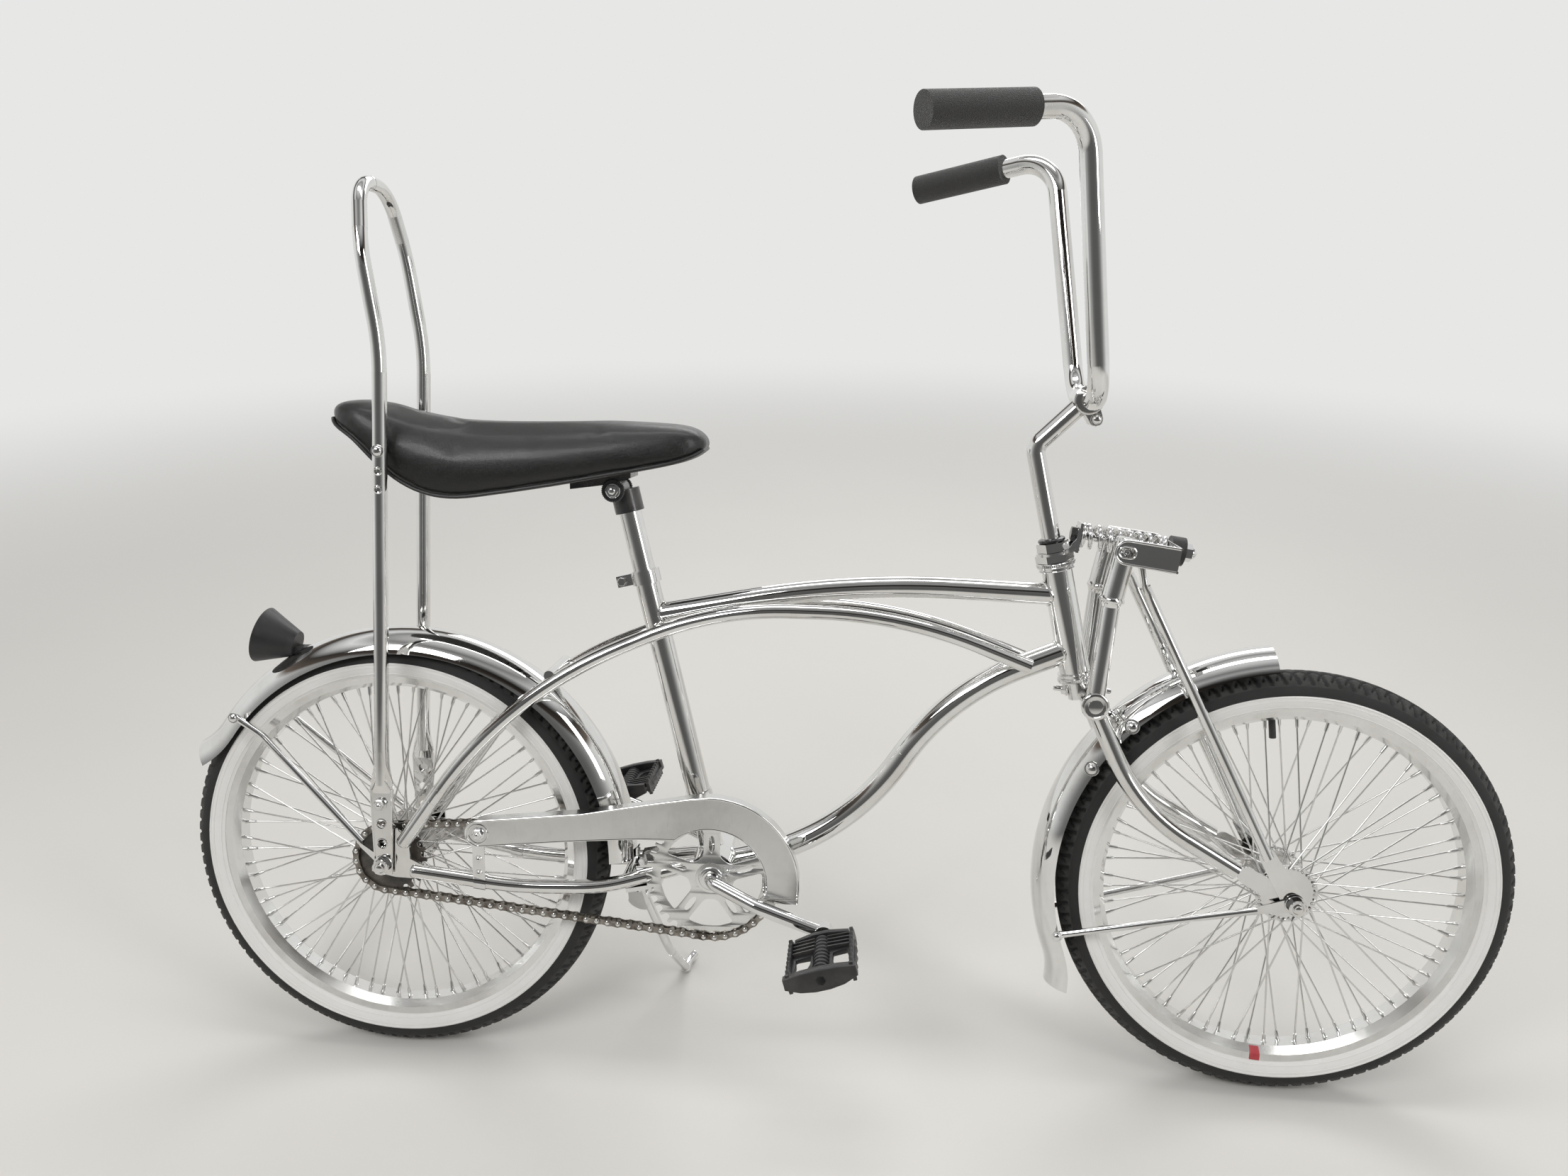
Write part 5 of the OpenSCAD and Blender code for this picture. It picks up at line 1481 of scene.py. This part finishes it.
@dataclass
class ForkTrim:
    """Ends of the fork's sleeves, bosses at its crown, folds at the top of its struts."""

    sleeve_end: tuple[float, float, float] = (818.6, -43, 589)
    sleeve_top: tuple[float, float, float] = (831.7, -43, 655)
    boss: tuple[float, float, float] = (807.5, -50, 470)
    strut_low: tuple[float, float, float] = (1005, -57.7, 306)
    strut_top: tuple[float, float, float] = (852, -47, 604)

    def build(self, shop: Workshop) -> None:
        """Makes the trim of both legs and struts."""
        draft = Draft()
        for side in (1, -1):
            turn = (lambda p: p) if side > 0 else flipped
            end, top = turn(Vector(self.sleeve_end)), turn(Vector(self.sleeve_top))
            fall = (end - top).normalized()
            lip = [(12.3, -3.6), (13.0, -2.4), (13.9, -0.6), (14.0, 1.0), (13.2, 2.3), (12.0, 3.4), (11.1, 6.4), (10.4, 8.4)]
            draft.lathe(end, fall, lip, 36)
            draft.lathe(top, -fall, [(12.4, -3.0), (12.9, -1.2), (12.4, 0.9), (9.0, 1.9), (0, 2.3)], 36)
            out = turn(Vector((0, -1, 0)))
            face = [(0, 0), (15.4, 0), (15.4, 4.6), (14.4, 5.6), (12.2, 5.9), (11.5, 5.0), (8.2, 4.7), (7.6, 5.3), (4.0, 5.6), (0, 5.6)]
            draft.lathe(turn(Vector(self.boss)), out, face, 40)
            low, high = turn(Vector(self.strut_low)), turn(Vector(self.strut_top))
            rise = (high - low).normalized()
            flat = (Matrix.Rotation(math.radians(-12), 3, "Y") @ Vector((0, 0, 1))).normalized()
            rows = []
            for t, wide, deep in ((-26, 6.5, 6.5), (-15, 6.7, 6.2), (-6, 7.6, 4.6), (0, 8.6, 3.4), (5, 8.4, 3.0), (14, 7.6, 2.9), (30, 7.4, 2.9)):
                base = high + rise * t if t < 0 else high + flat * t
                ahead = Vector((0, 1, 0)).cross(rise if t < 0 else flat)
                shape = []
                for k in range(20):
                    a = FULL * k / 20
                    c, s = math.cos(a), math.sin(a)
                    boxy = 1.0 if t < -10 else 0.62
                    x = math.copysign(abs(c) ** boxy, c) * deep
                    y = math.copysign(abs(s) ** boxy, s) * wide
                    shape.append(base + ahead * x + Vector((0, y, 0)))
                rows.append(shape)
            draft.loft(rows)
        shop.make("fork_trim", draft, Body.FORK, Slot.FRAME)


@dataclass
class RearTrim:
    """Rolled edges and pinched ends of the sissy bar's straps, and domed ends of the stays."""

    y: float = 64.5
    edge_y: float = 66.0
    holes: tuple[float, ...] = (304, 280)

    def strap(self, draft: Draft, turn: object) -> None:
        """Adds one strap's rolled edges, hole rims and the fold from tube to strap."""
        for edge in (-1, 1):
            line = [(-12 if edge < 0 else 15, 345), (-11.2 if edge < 0 else 12.4, 300), (-10 if edge < 0 else 10, 246)]
            draft.sweep([turn(point(x - edge * 0.9, -self.edge_y + 0.5, z)) for x, z in line], 1.3, 8)
        for z in self.holes:
            path = [turn(point(5.7 * math.cos(FULL * k / 24), -self.edge_y, z + 5.7 * math.sin(FULL * k / 24))) for k in range(24)]
            draft.sweep(path, 0.8, 8, closed=True)
        rows = []
        for z, x, wide, deep in (
            (392, 3.5, 8.05, 8.05), (376, 2.9, 8.6, 7.9), (366, 2.4, 10.2, 6.6), (357, 2.0, 12.6, 4.6), (349, 1.6, 13.6, 3.0),
            (341, 1.4, 13.4, 2.2),
        ):
            shape = []
            for k in range(24):
                a = FULL * k / 24
                shape.append(turn(point(x + wide * math.cos(a), -self.y + deep * math.sin(a), z)))
            rows.append(shape)
        draft.loft(rows)
        for start, stop in (((-10.6, 344), (1.6, 368)), ((13.6, 344), (1.8, 368))):
            a, b = point(start[0], -self.edge_y - 1.2, start[1]), point(stop[0], -self.edge_y - 5.6, stop[1])
            draft.sweep([turn(a), turn(a.lerp(b, 0.5)), turn(b)], [0.9, 1.1, 0.6], 8)

    def build(self, shop: Workshop) -> None:
        """Makes the trim of both sides."""
        draft = Draft()
        for turn in (lambda p: p, flipped):
            self.strap(draft, turn)
            for end, way in (((22, -58.5, 279), (-0.568, 0, -0.823)), ((34, -58.5, 245), (-0.985, 0, 0.153))):
                direction = turn(Vector(way))
                draft.dome(turn(Vector(end)) - direction * 1.5, direction, 8.5, 6.5, 24)
        shop.make("rear_trim", draft, Body.FRAME, Slot.FRAME)


@dataclass
class ChainTrim:
    """Heads of the chain's pins, laid out as the chain is."""

    crank: tuple[float, float] = (381, 246)
    axle: tuple[float, float] = (0, 254)
    pitch: float = 12.7
    ring_teeth: int = 36
    cog_teeth: int = 20
    y: float = 44
    pin_end: float = 5.0

    def pins(self) -> list[tuple[float, float]]:
        """Returns the place of every pin in the side view."""
        ring_r = self.pitch / (2 * math.sin(math.pi / self.ring_teeth))
        cog_r = self.pitch / (2 * math.sin(math.pi / self.cog_teeth))
        run = Vector((self.crank[0] - self.axle[0], self.crank[1] - self.axle[1]))
        tilt, flare = math.atan2(run.y, run.x), math.asin((ring_r - cog_r) / run.length)
        ring_step, cog_step = FULL / self.ring_teeth, FULL / self.cog_teeth
        wrap = int((math.pi - 2 * flare) / cog_step)
        ring_first = math.pi / 2 + tilt + flare
        cog_first = ring_first + ((math.pi - 2 * flare) - wrap * cog_step) / 2
        ring = []
        for i in range(self.ring_teeth // 2 + 2):
            a = ring_first - i * ring_step
            ring.append(Vector((self.crank[0] + ring_r * math.cos(a), self.crank[1] + ring_r * math.sin(a))))
        cog = []
        for i in range(wrap + 1):
            a = cog_first + (wrap - i) * cog_step
            cog.append(Vector((self.axle[0] + cog_r * math.cos(a), self.axle[1] + cog_r * math.sin(a))))
        links = round((ring[0] - cog[-1]).length / self.pitch)
        lower = [ring[-1].lerp(cog[0], i / links) for i in range(1, links)]
        upper = [cog[-1].lerp(ring[0], i / links) for i in range(1, links)]
        return [(p.x, p.y) for p in ring + lower + cog + upper]

    def build(self, shop: Workshop) -> None:
        """Makes a peened head on both ends of each pin."""
        draft = Draft()
        for x, z in self.pins():
            for side in (-1, 1):
                face = point(x, -self.y + side * (self.pin_end - 0.2), z)
                draft.lathe(face, Vector((0, side, 0)), [(2.5, 0), (2.5, 0.35), (1.9, 0.8), (0.8, 1.0), (0, 0.8)], 10)
        shop.make("chain_pin_heads", draft, Body.FRAME, Slot.SPOKE)


@dataclass
class GuardTrim:
    """Rolled edges of the chain guard, its bolt's ring, the folded front end and the strap's bolts."""

    face_y: float = -61.6
    crank: tuple[float, float] = (381, 246)
    out_r: float = 103
    in_r: float = 65

    def arc(self, r: float, start: float, stop: float, count: int) -> list[tuple[float, float]]:
        """Returns points of an arc about the crank."""
        out = []
        for k in range(count + 1):
            a = math.radians(start + (stop - start) * k / count)
            out.append((self.crank[0] + r * math.cos(a), self.crank[1] + r * math.sin(a)))
        return out

    def build(self, shop: Workshop) -> None:
        """Makes the trim."""
        draft = Draft()
        rear = [(112 + 15 * math.cos(math.radians(a)), 295 + 15 * math.sin(math.radians(a))) for a in range(270, 84, -15)]
        top = [(232, 322.8), (318, 339.2), (360, 346.2)] + self.arc(self.out_r - 0.9, 90, -8.5, 26)
        low = [(440, 229.9)] + self.arc(self.in_r + 0.8, -13, 128, 30)[1:] + [(300, 297), (232, 292), (112, 280)]
        draft.sweep([point(x, self.face_y + 0.5, z) for x, z in rear + top], 1.5, 10)
        draft.sweep([point(x, self.face_y + 0.3, z) for x, z in low], 0.8, 8)
        ring = [point(112 + 11.5 * math.cos(FULL * k / 36), self.face_y, 295 + 11.5 * math.sin(FULL * k / 36)) for k in range(36)]
        draft.sweep(ring, 0.9, 8, closed=True)
        fold = [(443, 225), (483, 225), (483, 230.6), (443, 230.6)]
        draft.block(fold, -0.6, 14.0, side_view(0, -47, 0), 0.5)
        draft.block([(446, 218.5), (456, 218.5), (457.5, 225.5), (444.5, 225.5)], 0.0, 2.0, side_view(0, -58, 0), 0.4)
        for x in (443.6, 482.2):
            draft.sweep([point(x, self.face_y, 226), point(x, self.face_y, 250)], 1.0, 8)
        draft.sweep([point(443.6, self.face_y, 231), point(482.2, self.face_y, 231)], 1.0, 8)
        for z in (246, 263):
            draft.washer(point(111, -59.8, z), Vector((0, -1, 0)), 4.4, 0.8)
            draft.dome(point(111, -60.5, z), Vector((0, -1, 0)), 3.1, 2.0, 14)
        shop.make("guard_trim", draft, Body.FRAME, Slot.FENDER)


@dataclass
class Chainring:
    """The chainring: a flat toothed plate with five arms, each with an oval hole, and a raised hub."""

    x: float = 381
    z: float = 246
    y: float = -44
    pitch_r: float = 72.857
    teeth: int = 36
    first: float = math.radians(93.655)
    arm_half: float = 9.5
    window: tuple[float, float] = (27, 60)
    window_turn: float = math.radians(-18.5)

    def outline(self) -> list[tuple[float, float]]:
        """Returns the toothed outline."""
        notch = ((3.3, -4.75), (0, -4.1), (-2.9, -2.9), (-4.1, 0), (-2.9, 2.9), (0, 4.1), (3.3, 4.75))
        out = []
        for i in range(self.teeth):
            a = self.first + FULL * i / self.teeth
            c, s = math.cos(a), math.sin(a)
            for radial, across in notch:
                r = self.pitch_r + radial
                out.append((r * c - across * s, r * s + across * c))
        return out

    def openings(self) -> list[list[tuple[float, float]]]:
        """Returns the windows between the arms and the oval hole in each arm."""
        out = []
        low, high = self.window
        for i in range(5):
            middle = self.window_turn + FULL * i / 5
            loop = []
            for r, way in ((low, -1), (high, -1), (high, -0.33), (high, 0.33), (high, 1), (low, 1)):
                half = math.pi / 5 - math.asin(self.arm_half / r)
                a = middle + way * half
                loop.append((r * math.cos(a), r * math.sin(a)))
            out.append(rounded(loop, 5.0))
            arm = middle + math.pi / 5
            oval = []
            for k in range(24):
                a = FULL * k / 24
                radial = 41 + 8.5 * math.cos(a) + (2.0 if math.cos(a) > 0 else -2.0)
                across = 3.4 * math.sin(a)
                oval.append((radial * math.cos(arm) - across * math.sin(arm), radial * math.sin(arm) + across * math.cos(arm)))
            out.append(oval)
        out.append([(10 * math.cos(FULL * k / 32), 10 * math.sin(FULL * k / 32)) for k in range(32)])
        return out

    def build(self, shop: Workshop) -> None:
        """Makes the ring and its hub."""
        draft = Draft()
        draft.sheet(self.outline(), self.openings(), 2.4, 0.35, side_view(self.x, self.y, self.z))
        hub = [(10.2, -1.0), (10.2, 4.2), (13.0, 4.2), (14.2, 3.4), (15.0, 2.2), (18.0, 1.9), (18.6, 1.0)]
        draft.lathe(point(self.x, self.y, self.z), Vector((0, -1, 0)), hub, 40)
        draft.dome(point(self.x + 19.5, self.y - 1.0, self.z + 9.0), Vector((0, -1, 0)), 3.0, 2.6, 14)
        shop.make("chainring_plate", draft, Body.CRANKSET, Slot.FITTINGS, ("chainring",), material=SATIN_PLATE.build(shop.effects))


@dataclass
class Pedal:
    """A moulded pedal: toothed deck with two windows, ribs, a ribbed spindle housing and deep end plates."""

    name: str
    node: str
    body: Body
    side: int
    tilt: float = math.radians(-16)
    crank: tuple[float, float, float] = (381, 0, 246)
    crank_angle: float = math.radians(-18.5)
    crank_len: float = 140
    reach: float = 141

    def place(self) -> Matrix:
        """Returns the matrix from the pedal's own frame: forward, outward and up."""
        arm = -self.side * self.crank_len
        at = point(
            self.crank[0] + arm * math.cos(self.crank_angle), self.side * self.reach, self.crank[2] + arm * math.sin(self.crank_angle)
        )
        return Matrix.Translation(at) @ Matrix.Rotation(self.tilt, 4, "Y") @ Matrix.Scale(self.side, 4, Vector((0, 1, 0)))

    def build(self, shop: Workshop) -> None:
        """Makes the pedal."""
        place = self.place()
        draft = Draft()
        edge = [(31, -45.5), (36.5, -39), (35, -31), (38.5, -23), (37, -13), (39.6, -5), (38, 5), (40, 13), (38.4, 22), (40, 31), (37, 45)]
        outline = edge + [(-x, t) for x, t in reversed(edge)]
        front = rounded([(13, -6), (27, -9), (30, 4), (31, 22), (17, 24), (12.5, 12)], 2.5)
        rear = rounded([(-12, -8), (-12.5, 10), (-17, 24), (-31, 25), (-28, 8), (-29, -5)], 2.5)
        inner = rounded([(13, -36), (28, -36), (30, -16), (13, -16)], 3.0)
        draft.sheet(outline, [front, rear], 5.0, 0.9, place)
        for sign in (-1, 1):
            draft.block([(sign * x, t) for x, t in inner][::sign], 2.0, 4.6, place, 0.6)
            teeth = []
            for k in range(9):
                t = -40 + k * 9.6
                teeth += [(t, 7.4), (t + 2.2, 11.4), (t + 5.0, 11.2)]
            low = [(t, -z * 0.9) for t, z in reversed(teeth)]
            stand = place @ Matrix.Translation((sign * 34.6 - 1.8, 0, 0)) @ Matrix(((0, 0, 1, 0), (1, 0, 0, 0), (0, 1, 0, 0), (0, 0, 0, 1)))
            draft.block([(-43, -5), *reversed(low), (43, -4), (43, 5), *reversed(teeth), (-43, 6)][::1], 0.0, 4.0, stand, 0.5)
        upright = Matrix(((1, 0, 0, 0), (0, 0, 1, 0), (0, 1, 0, 0), (0, 0, 0, 1)))
        outer = [(-39.5, -3), (-24, -9.5), (-8, -12), (8, -12), (24, -9.5), (39.5, -3), (39.5, 8.6), (20, 11.2), (0, 12), (-20, 11.2), (-39.5, 8.6)]
        draft.block(outer, 35.5, 46, place @ upright, 0.9)
        near = [(-31, -5), (-9, -10.5), (9, -10.5), (31, -5), (31, 6.5), (9, 10.5), (-9, 10.5), (-31, 6.5)]
        draft.block(near, -46, -39.5, place @ upright, 0.8)
        for t in (-37, -29, -21, -13):
            for sign in (-1, 1):
                rib = [(sign * 7, -6), (sign * 35, -5), (sign * 35, 6.4), (sign * 7, 7.6)]
                draft.block(rib[::sign], t - 1.2, t + 1.2, place @ upright, 0.3)
        profile = [(5.4, -45)]
        for k in range(11):
            t = -44 + k * 7.6
            profile += [(9.8, t), (9.8, t + 3.0), (8.4, t + 3.6), (8.4, t + 6.8)]
        profile += [(9.4, 39.5), (5.0, 40.0)]
        middle = place @ Vector((0, 0, 0))
        draft.lathe(middle, Vector((0, self.side, 0)), profile, 24)
        draft.hexagon(place @ Vector((0, 45.4, 0)), Vector((0, self.side, 0)), 11, 0.6)
        shop.make(self.name, draft, self.body, Slot.PLASTIC, (self.node,))


@dataclass
class Clamps:
    """Clamp bolts and lugs of the stem, the seat post and the seat, and the stand's curled foot."""

    bar_at: tuple[float, float, float] = (785, 0, 802)
    ear_bolt: tuple[float, float, float] = (270.8, 0, 585.9)
    seat_barrel: tuple[float, float, float] = (264.3, 0, 691.5)
    foot: tuple[float, float, float] = (0, 0, 0)

    def stem(self, shop: Workshop) -> None:
        """Makes the two lugs under the bar's clamp and the bolt through them."""
        draft = Draft()
        way = Vector((0.42, 0, -0.91)).normalized()
        across = Vector((way.z, 0, -way.x))
        for low, high in ((-14.5, -2.0), (2.0, 14.5)):
            outline = []
            for d, s in ((12, -8.5), (25, -7.5), (30, -3.5), (30, 4.0), (26, 8.0), (12, 9.5)):
                p = Vector(self.bar_at) + way * d + across * s
                outline.append((p.x, p.z))
            draft.block(outline, low, high, side_view(0, 0, 0), 0.9)
        bolt = Vector(self.bar_at) + way * 23
        draft.sweep([bolt + Vector((0, -15, 0)), bolt + Vector((0, 15, 0))], 3.2, 14)
        draft.washer(bolt + Vector((0, -14.3, 0)), Vector((0, -1, 0)), 6.6, 1.0)
        draft.dome(bolt + Vector((0, -15.2, 0)), Vector((0, -1, 0)), 5.4, 4.2, 18)
        draft.hexagon(bolt + Vector((0, 14.3, 0)), Vector((0, 1, 0)), 10, 5)
        for y in (-19.2, 19.2):
            ring = [Vector(self.bar_at) + Vector((15.0 * math.cos(FULL * k / 40), y, 15.0 * math.sin(FULL * k / 40))) for k in range(40)]
            draft.sweep(ring, 1.0, 8, closed=True)
        shop.make("stem_clamp_trim", draft, Body.FORK, Slot.FRAME)

    def seat(self, shop: Workshop) -> None:
        """Makes the seat clamp's serrated discs and the seat post clamp's bolt."""
        cast, steel = Draft(), Draft()
        for side in (-1, 1):
            out = Vector((0, side, 0))
            face = Vector(self.seat_barrel) + out * 21
            u, v, w = basis(out)
            rows = []
            for h, r in ((-0.6, 12.6), (0.4, 13.4), (3.0, 13.4), (3.8, 12.4)):
                rows.append([face + w * h + (u * math.cos(FULL * k / 72) + v * math.sin(FULL * k / 72)) * (r - 0.7 * (k % 2)) for k in range(72)])
            cast.loft(rows)
            steel.washer(face + out * 3.6, out, 8.4, 1.2)
            steel.hexagon(face + out * 4.6, out, 13, 6.0)
            steel.dome(face + out * 10.2, out, 3.9, 1.6, 14)
            bolt = Vector(self.ear_bolt) + out * 7
            steel.washer(bolt, out, 5.8, 1.0)
            if side < 0:
                steel.hexagon(bolt + out * 0.9, out, 9, 4.4)
            else:
                steel.dome(bolt + out * 0.9, out, 4.6, 3.0, 16)
        shop.make("seat_clamp_discs", cast, Body.FRAME, Slot.CASTING)
        shop.make("seat_clamp_bolts", steel, Body.FRAME, Slot.FITTINGS)

    def stand(self, shop: Workshop) -> None:
        """Makes the curled end of the kickstand's foot."""
        draft = Draft()
        parked = Vector((325, 137, 7.0))
        turn = shop.stance.parked()
        base = turn.inverted() @ Vector((MM * (parked.x - 519), MM * (parked.y - 138.9), MM * parked.z))
        rows = [(0, 0, 0, 6.4), (1, 6, 0, 6.1), (2, 12, 0.2, 5.7), (4, 18, 0.6, 5.4), (6.5, 23, 1.6, 5.2), (9.5, 26.5, 3.4, 5.0), (11, 27.5, 4.4, 3.4)]
        path, radii = [], []
        lean = Matrix.Rotation(shop.stance.lean, 3, "X")
        for x, y, z, r in rows:
            path.append(base + lean @ Vector((x, y, z)))
            radii.append(r)
        draft.sweep(path, radii, 16)
        shop.make("stand_curl", draft, Body.KICKSTAND, Slot.FITTINGS)

    def build(self, shop: Workshop) -> None:
        """Makes all the clamps' trim."""
        self.stem(shop)
        self.seat(shop)
        self.stand(shop)


@dataclass
class Studio:
    """Floor, light, sky and camera."""

    floor_r: float = 120.0
    fade_from: float = 1.6
    fade_to: float = 5.0
    backdrop: tuple[float, float, float] = (0.80, 0.80, 0.79)
    floor_colour: tuple[float, float, float] = (0.70, 0.685, 0.65)
    dim_share: float = 0.86
    lens: float = 26.40
    eye: tuple[float, float, float] = (0.0167, -1.2617, 1.0418)
    pitch: float = math.radians(69.11)
    heading: float = math.radians(3.65)
    roll: float = math.radians(0.30)

    def camera(self) -> None:
        """Sets the camera where the photograph was taken."""
        data = bpy.data.cameras.new("camera")
        data.sensor_width = 36
        data.sensor_fit = "HORIZONTAL"
        data.lens = self.lens
        data.clip_start, data.clip_end = 0.02, 200
        eye = bpy.data.objects.new("camera", data)
        bpy.context.scene.collection.objects.link(eye)
        turn = Matrix.Rotation(self.heading, 4, "Z") @ Matrix.Rotation(self.pitch, 4, "X") @ Matrix.Rotation(self.roll, 4, "Z")
        eye.matrix_world = Matrix.Translation(self.eye) @ turn
        bpy.context.scene.camera = eye

    def dimmed(self, t: "Tree", ahead: bpy.types.NodeSocket) -> bpy.types.NodeSocket:
        """Gives how bright the room is towards a side, less in front of the bicycle.

        Args:
            t: The node tree that the nodes go into.
            ahead: The socket of how far the side lies towards +Y, from -1 to 1.

        Returns:
            The socket of the brightness.
        """
        near = t.add("ShaderNodeMapRange", {"Value": ahead, "From Min": -0.05, "From Max": -1.0})
        near.interpolation_type = "SMOOTHSTEP"
        return t.math("SUBTRACT", 1.0, t.math("MULTIPLY", near.outputs[0], self.dim_share))

    def floor(self) -> None:
        """Makes a pale floor that fades into the backdrop."""
        draft = Draft()
        draft.lathe(Vector(), Vector((0, 0, 1)), [(0, 0), (0.8, 0), (2, 0), (6, 0), (self.floor_r, 0)], 96)
        mesh = bpy.data.meshes.new("floor")
        mesh.from_pydata(draft.points, [], draft.faces)
        floor = bpy.data.objects.new("floor", mesh)
        bpy.context.scene.collection.objects.link(floor)
        material = bpy.data.materials.new("pale_floor")
        material.use_nodes = True
        t = Tree(material.node_tree)
        at = t.place()
        away = t.add("ShaderNodeVectorMath", {0: at}, operation="LENGTH").outputs["Value"]
        fade = t.add("ShaderNodeMapRange", {"Value": away, "From Min": self.fade_from, "From Max": self.fade_to})
        fade.interpolation_type = "SMOOTHSTEP"
        cloudy = t.add("ShaderNodeTexNoise", {"Vector": at, "Scale": 2.2, "Detail": 4.0})
        warm = Finish.mixed(t, cloudy.outputs["Fac"], self.floor_colour, tuple(c * 0.96 for c in self.floor_colour))
        matt = t.add("ShaderNodeBsdfPrincipled", {"Base Color": warm, "Roughness": 0.55, "Specular IOR Level": 0.25})
        ahead = t.math("DIVIDE", t.add("ShaderNodeSeparateXYZ", {0: at}).outputs["Y"], away)
        glow = t.add("ShaderNodeEmission", {"Color": (*self.backdrop, 1), "Strength": self.dimmed(t, ahead)})
        path = t.add("ShaderNodeLightPath")
        seen = t.math("MAXIMUM", path.outputs["Is Camera Ray"], path.outputs["Is Glossy Ray"])
        seen = t.math("MAXIMUM", seen, path.outputs["Is Transmission Ray"])
        share = t.math("MULTIPLY", fade.outputs[0], seen)
        mix = t.add("ShaderNodeMixShader", {0: share, 1: matt.outputs[0], 2: glow.outputs[0]})
        t.add("ShaderNodeOutputMaterial", {"Surface": mix.outputs[0]})
        mesh.materials.append(material)

    def sky(self) -> None:
        """Lights the scene evenly, pale at the horizon and darker above, as a room is."""
        world = bpy.data.worlds.new("studio")
        bpy.context.scene.world = world
        world.use_nodes = True
        t = Tree(world.node_tree)
        way = t.add("ShaderNodeSeparateXYZ", {0: t.add("ShaderNodeTexCoord").outputs["Generated"]})
        colour = t.ramp(
            way.outputs["Z"],
            [
                (0.0, self.backdrop), (0.42, self.backdrop), (0.48, (0.16, 0.13, 0.11)), (0.60, (0.05, 0.045, 0.04)),
                (0.68, (0.45, 0.45, 0.45)), (0.78, (0.85, 0.85, 0.85)), (0.88, (0.30, 0.30, 0.30)), (1.0, (0.7, 0.7, 0.7)),
            ],
        )
        light = t.add("ShaderNodeBackground", {"Color": colour, "Strength": self.dimmed(t, way.outputs["Y"])})
        t.add("ShaderNodeOutputWorld", {"Surface": light.outputs[0]})

    def lamps(self) -> None:
        """Hangs the soft lamps."""
        rows = [
            # name, place, size across, size along, watts
            ("key", (-1.6, -2.3, 2.9), 1.8, 1.0, 50),
            ("fill", (2.6, -1.9, 2.1), 0.9, 2.0, 30),
            ("back", (0.4, 2.6, 2.5), 2.6, 1.0, 34),
            ("top", (0.0, 0.2, 3.4), 2.4, 0.6, 24),
        ]
        for name, place, wide, deep, watts in rows:
            data = bpy.data.lights.new(name, "AREA")
            data.shape = "RECTANGLE"
            data.size, data.size_y, data.energy = wide, deep, watts
            lamp = bpy.data.objects.new(name, data)
            bpy.context.scene.collection.objects.link(lamp)
            aim = Vector((0, 0, 0.5)) - Vector(place)
            lamp.matrix_world = Matrix.Translation(place) @ aim.to_track_quat("-Z", "Y").to_matrix().to_4x4()

    def build(self) -> None:
        """Sets the whole studio."""
        self.camera()
        self.floor()
        self.sky()
        self.lamps()
        bpy.context.scene.view_settings.view_transform = "Standard"


def main() -> None:
    """Builds the looks of the bicycle."""
    logging.basicConfig(level=logging.INFO, format="%(name)s: %(message)s")
    Studio().build()
    shop = Workshop(Stance(), Effects())
    shop.dress_solids()
    Wheel("front", 1038, Body.FRONT_WHEEL, ("front_tyre",)).build(shop)
    Wheel("rear", 0, Body.REAR_WHEEL, ("rear_tyre",)).build(shop)
    RimMark().build(shop)
    Seat().build(shop)
    SpringCoil().build(shop)
    Welds().build(shop)
    Fasteners().build(shop)
    Springer().build(shop)
    ForkTrim().build(shop)
    RearTrim().build(shop)
    ChainTrim().build(shop)
    GuardTrim().build(shop)
    Chainring().build(shop)
    Pedal("pedal_right_body", "right_pedal", Body.RIGHT_PEDAL, -1).build(shop)
    Pedal("pedal_left_body", "left_pedal", Body.LEFT_PEDAL, 1).build(shop)
    Clamps().build(shop)
    LOG.info("%d triangles in all", shop.triangles)


if __name__ == "__main__":
    main()
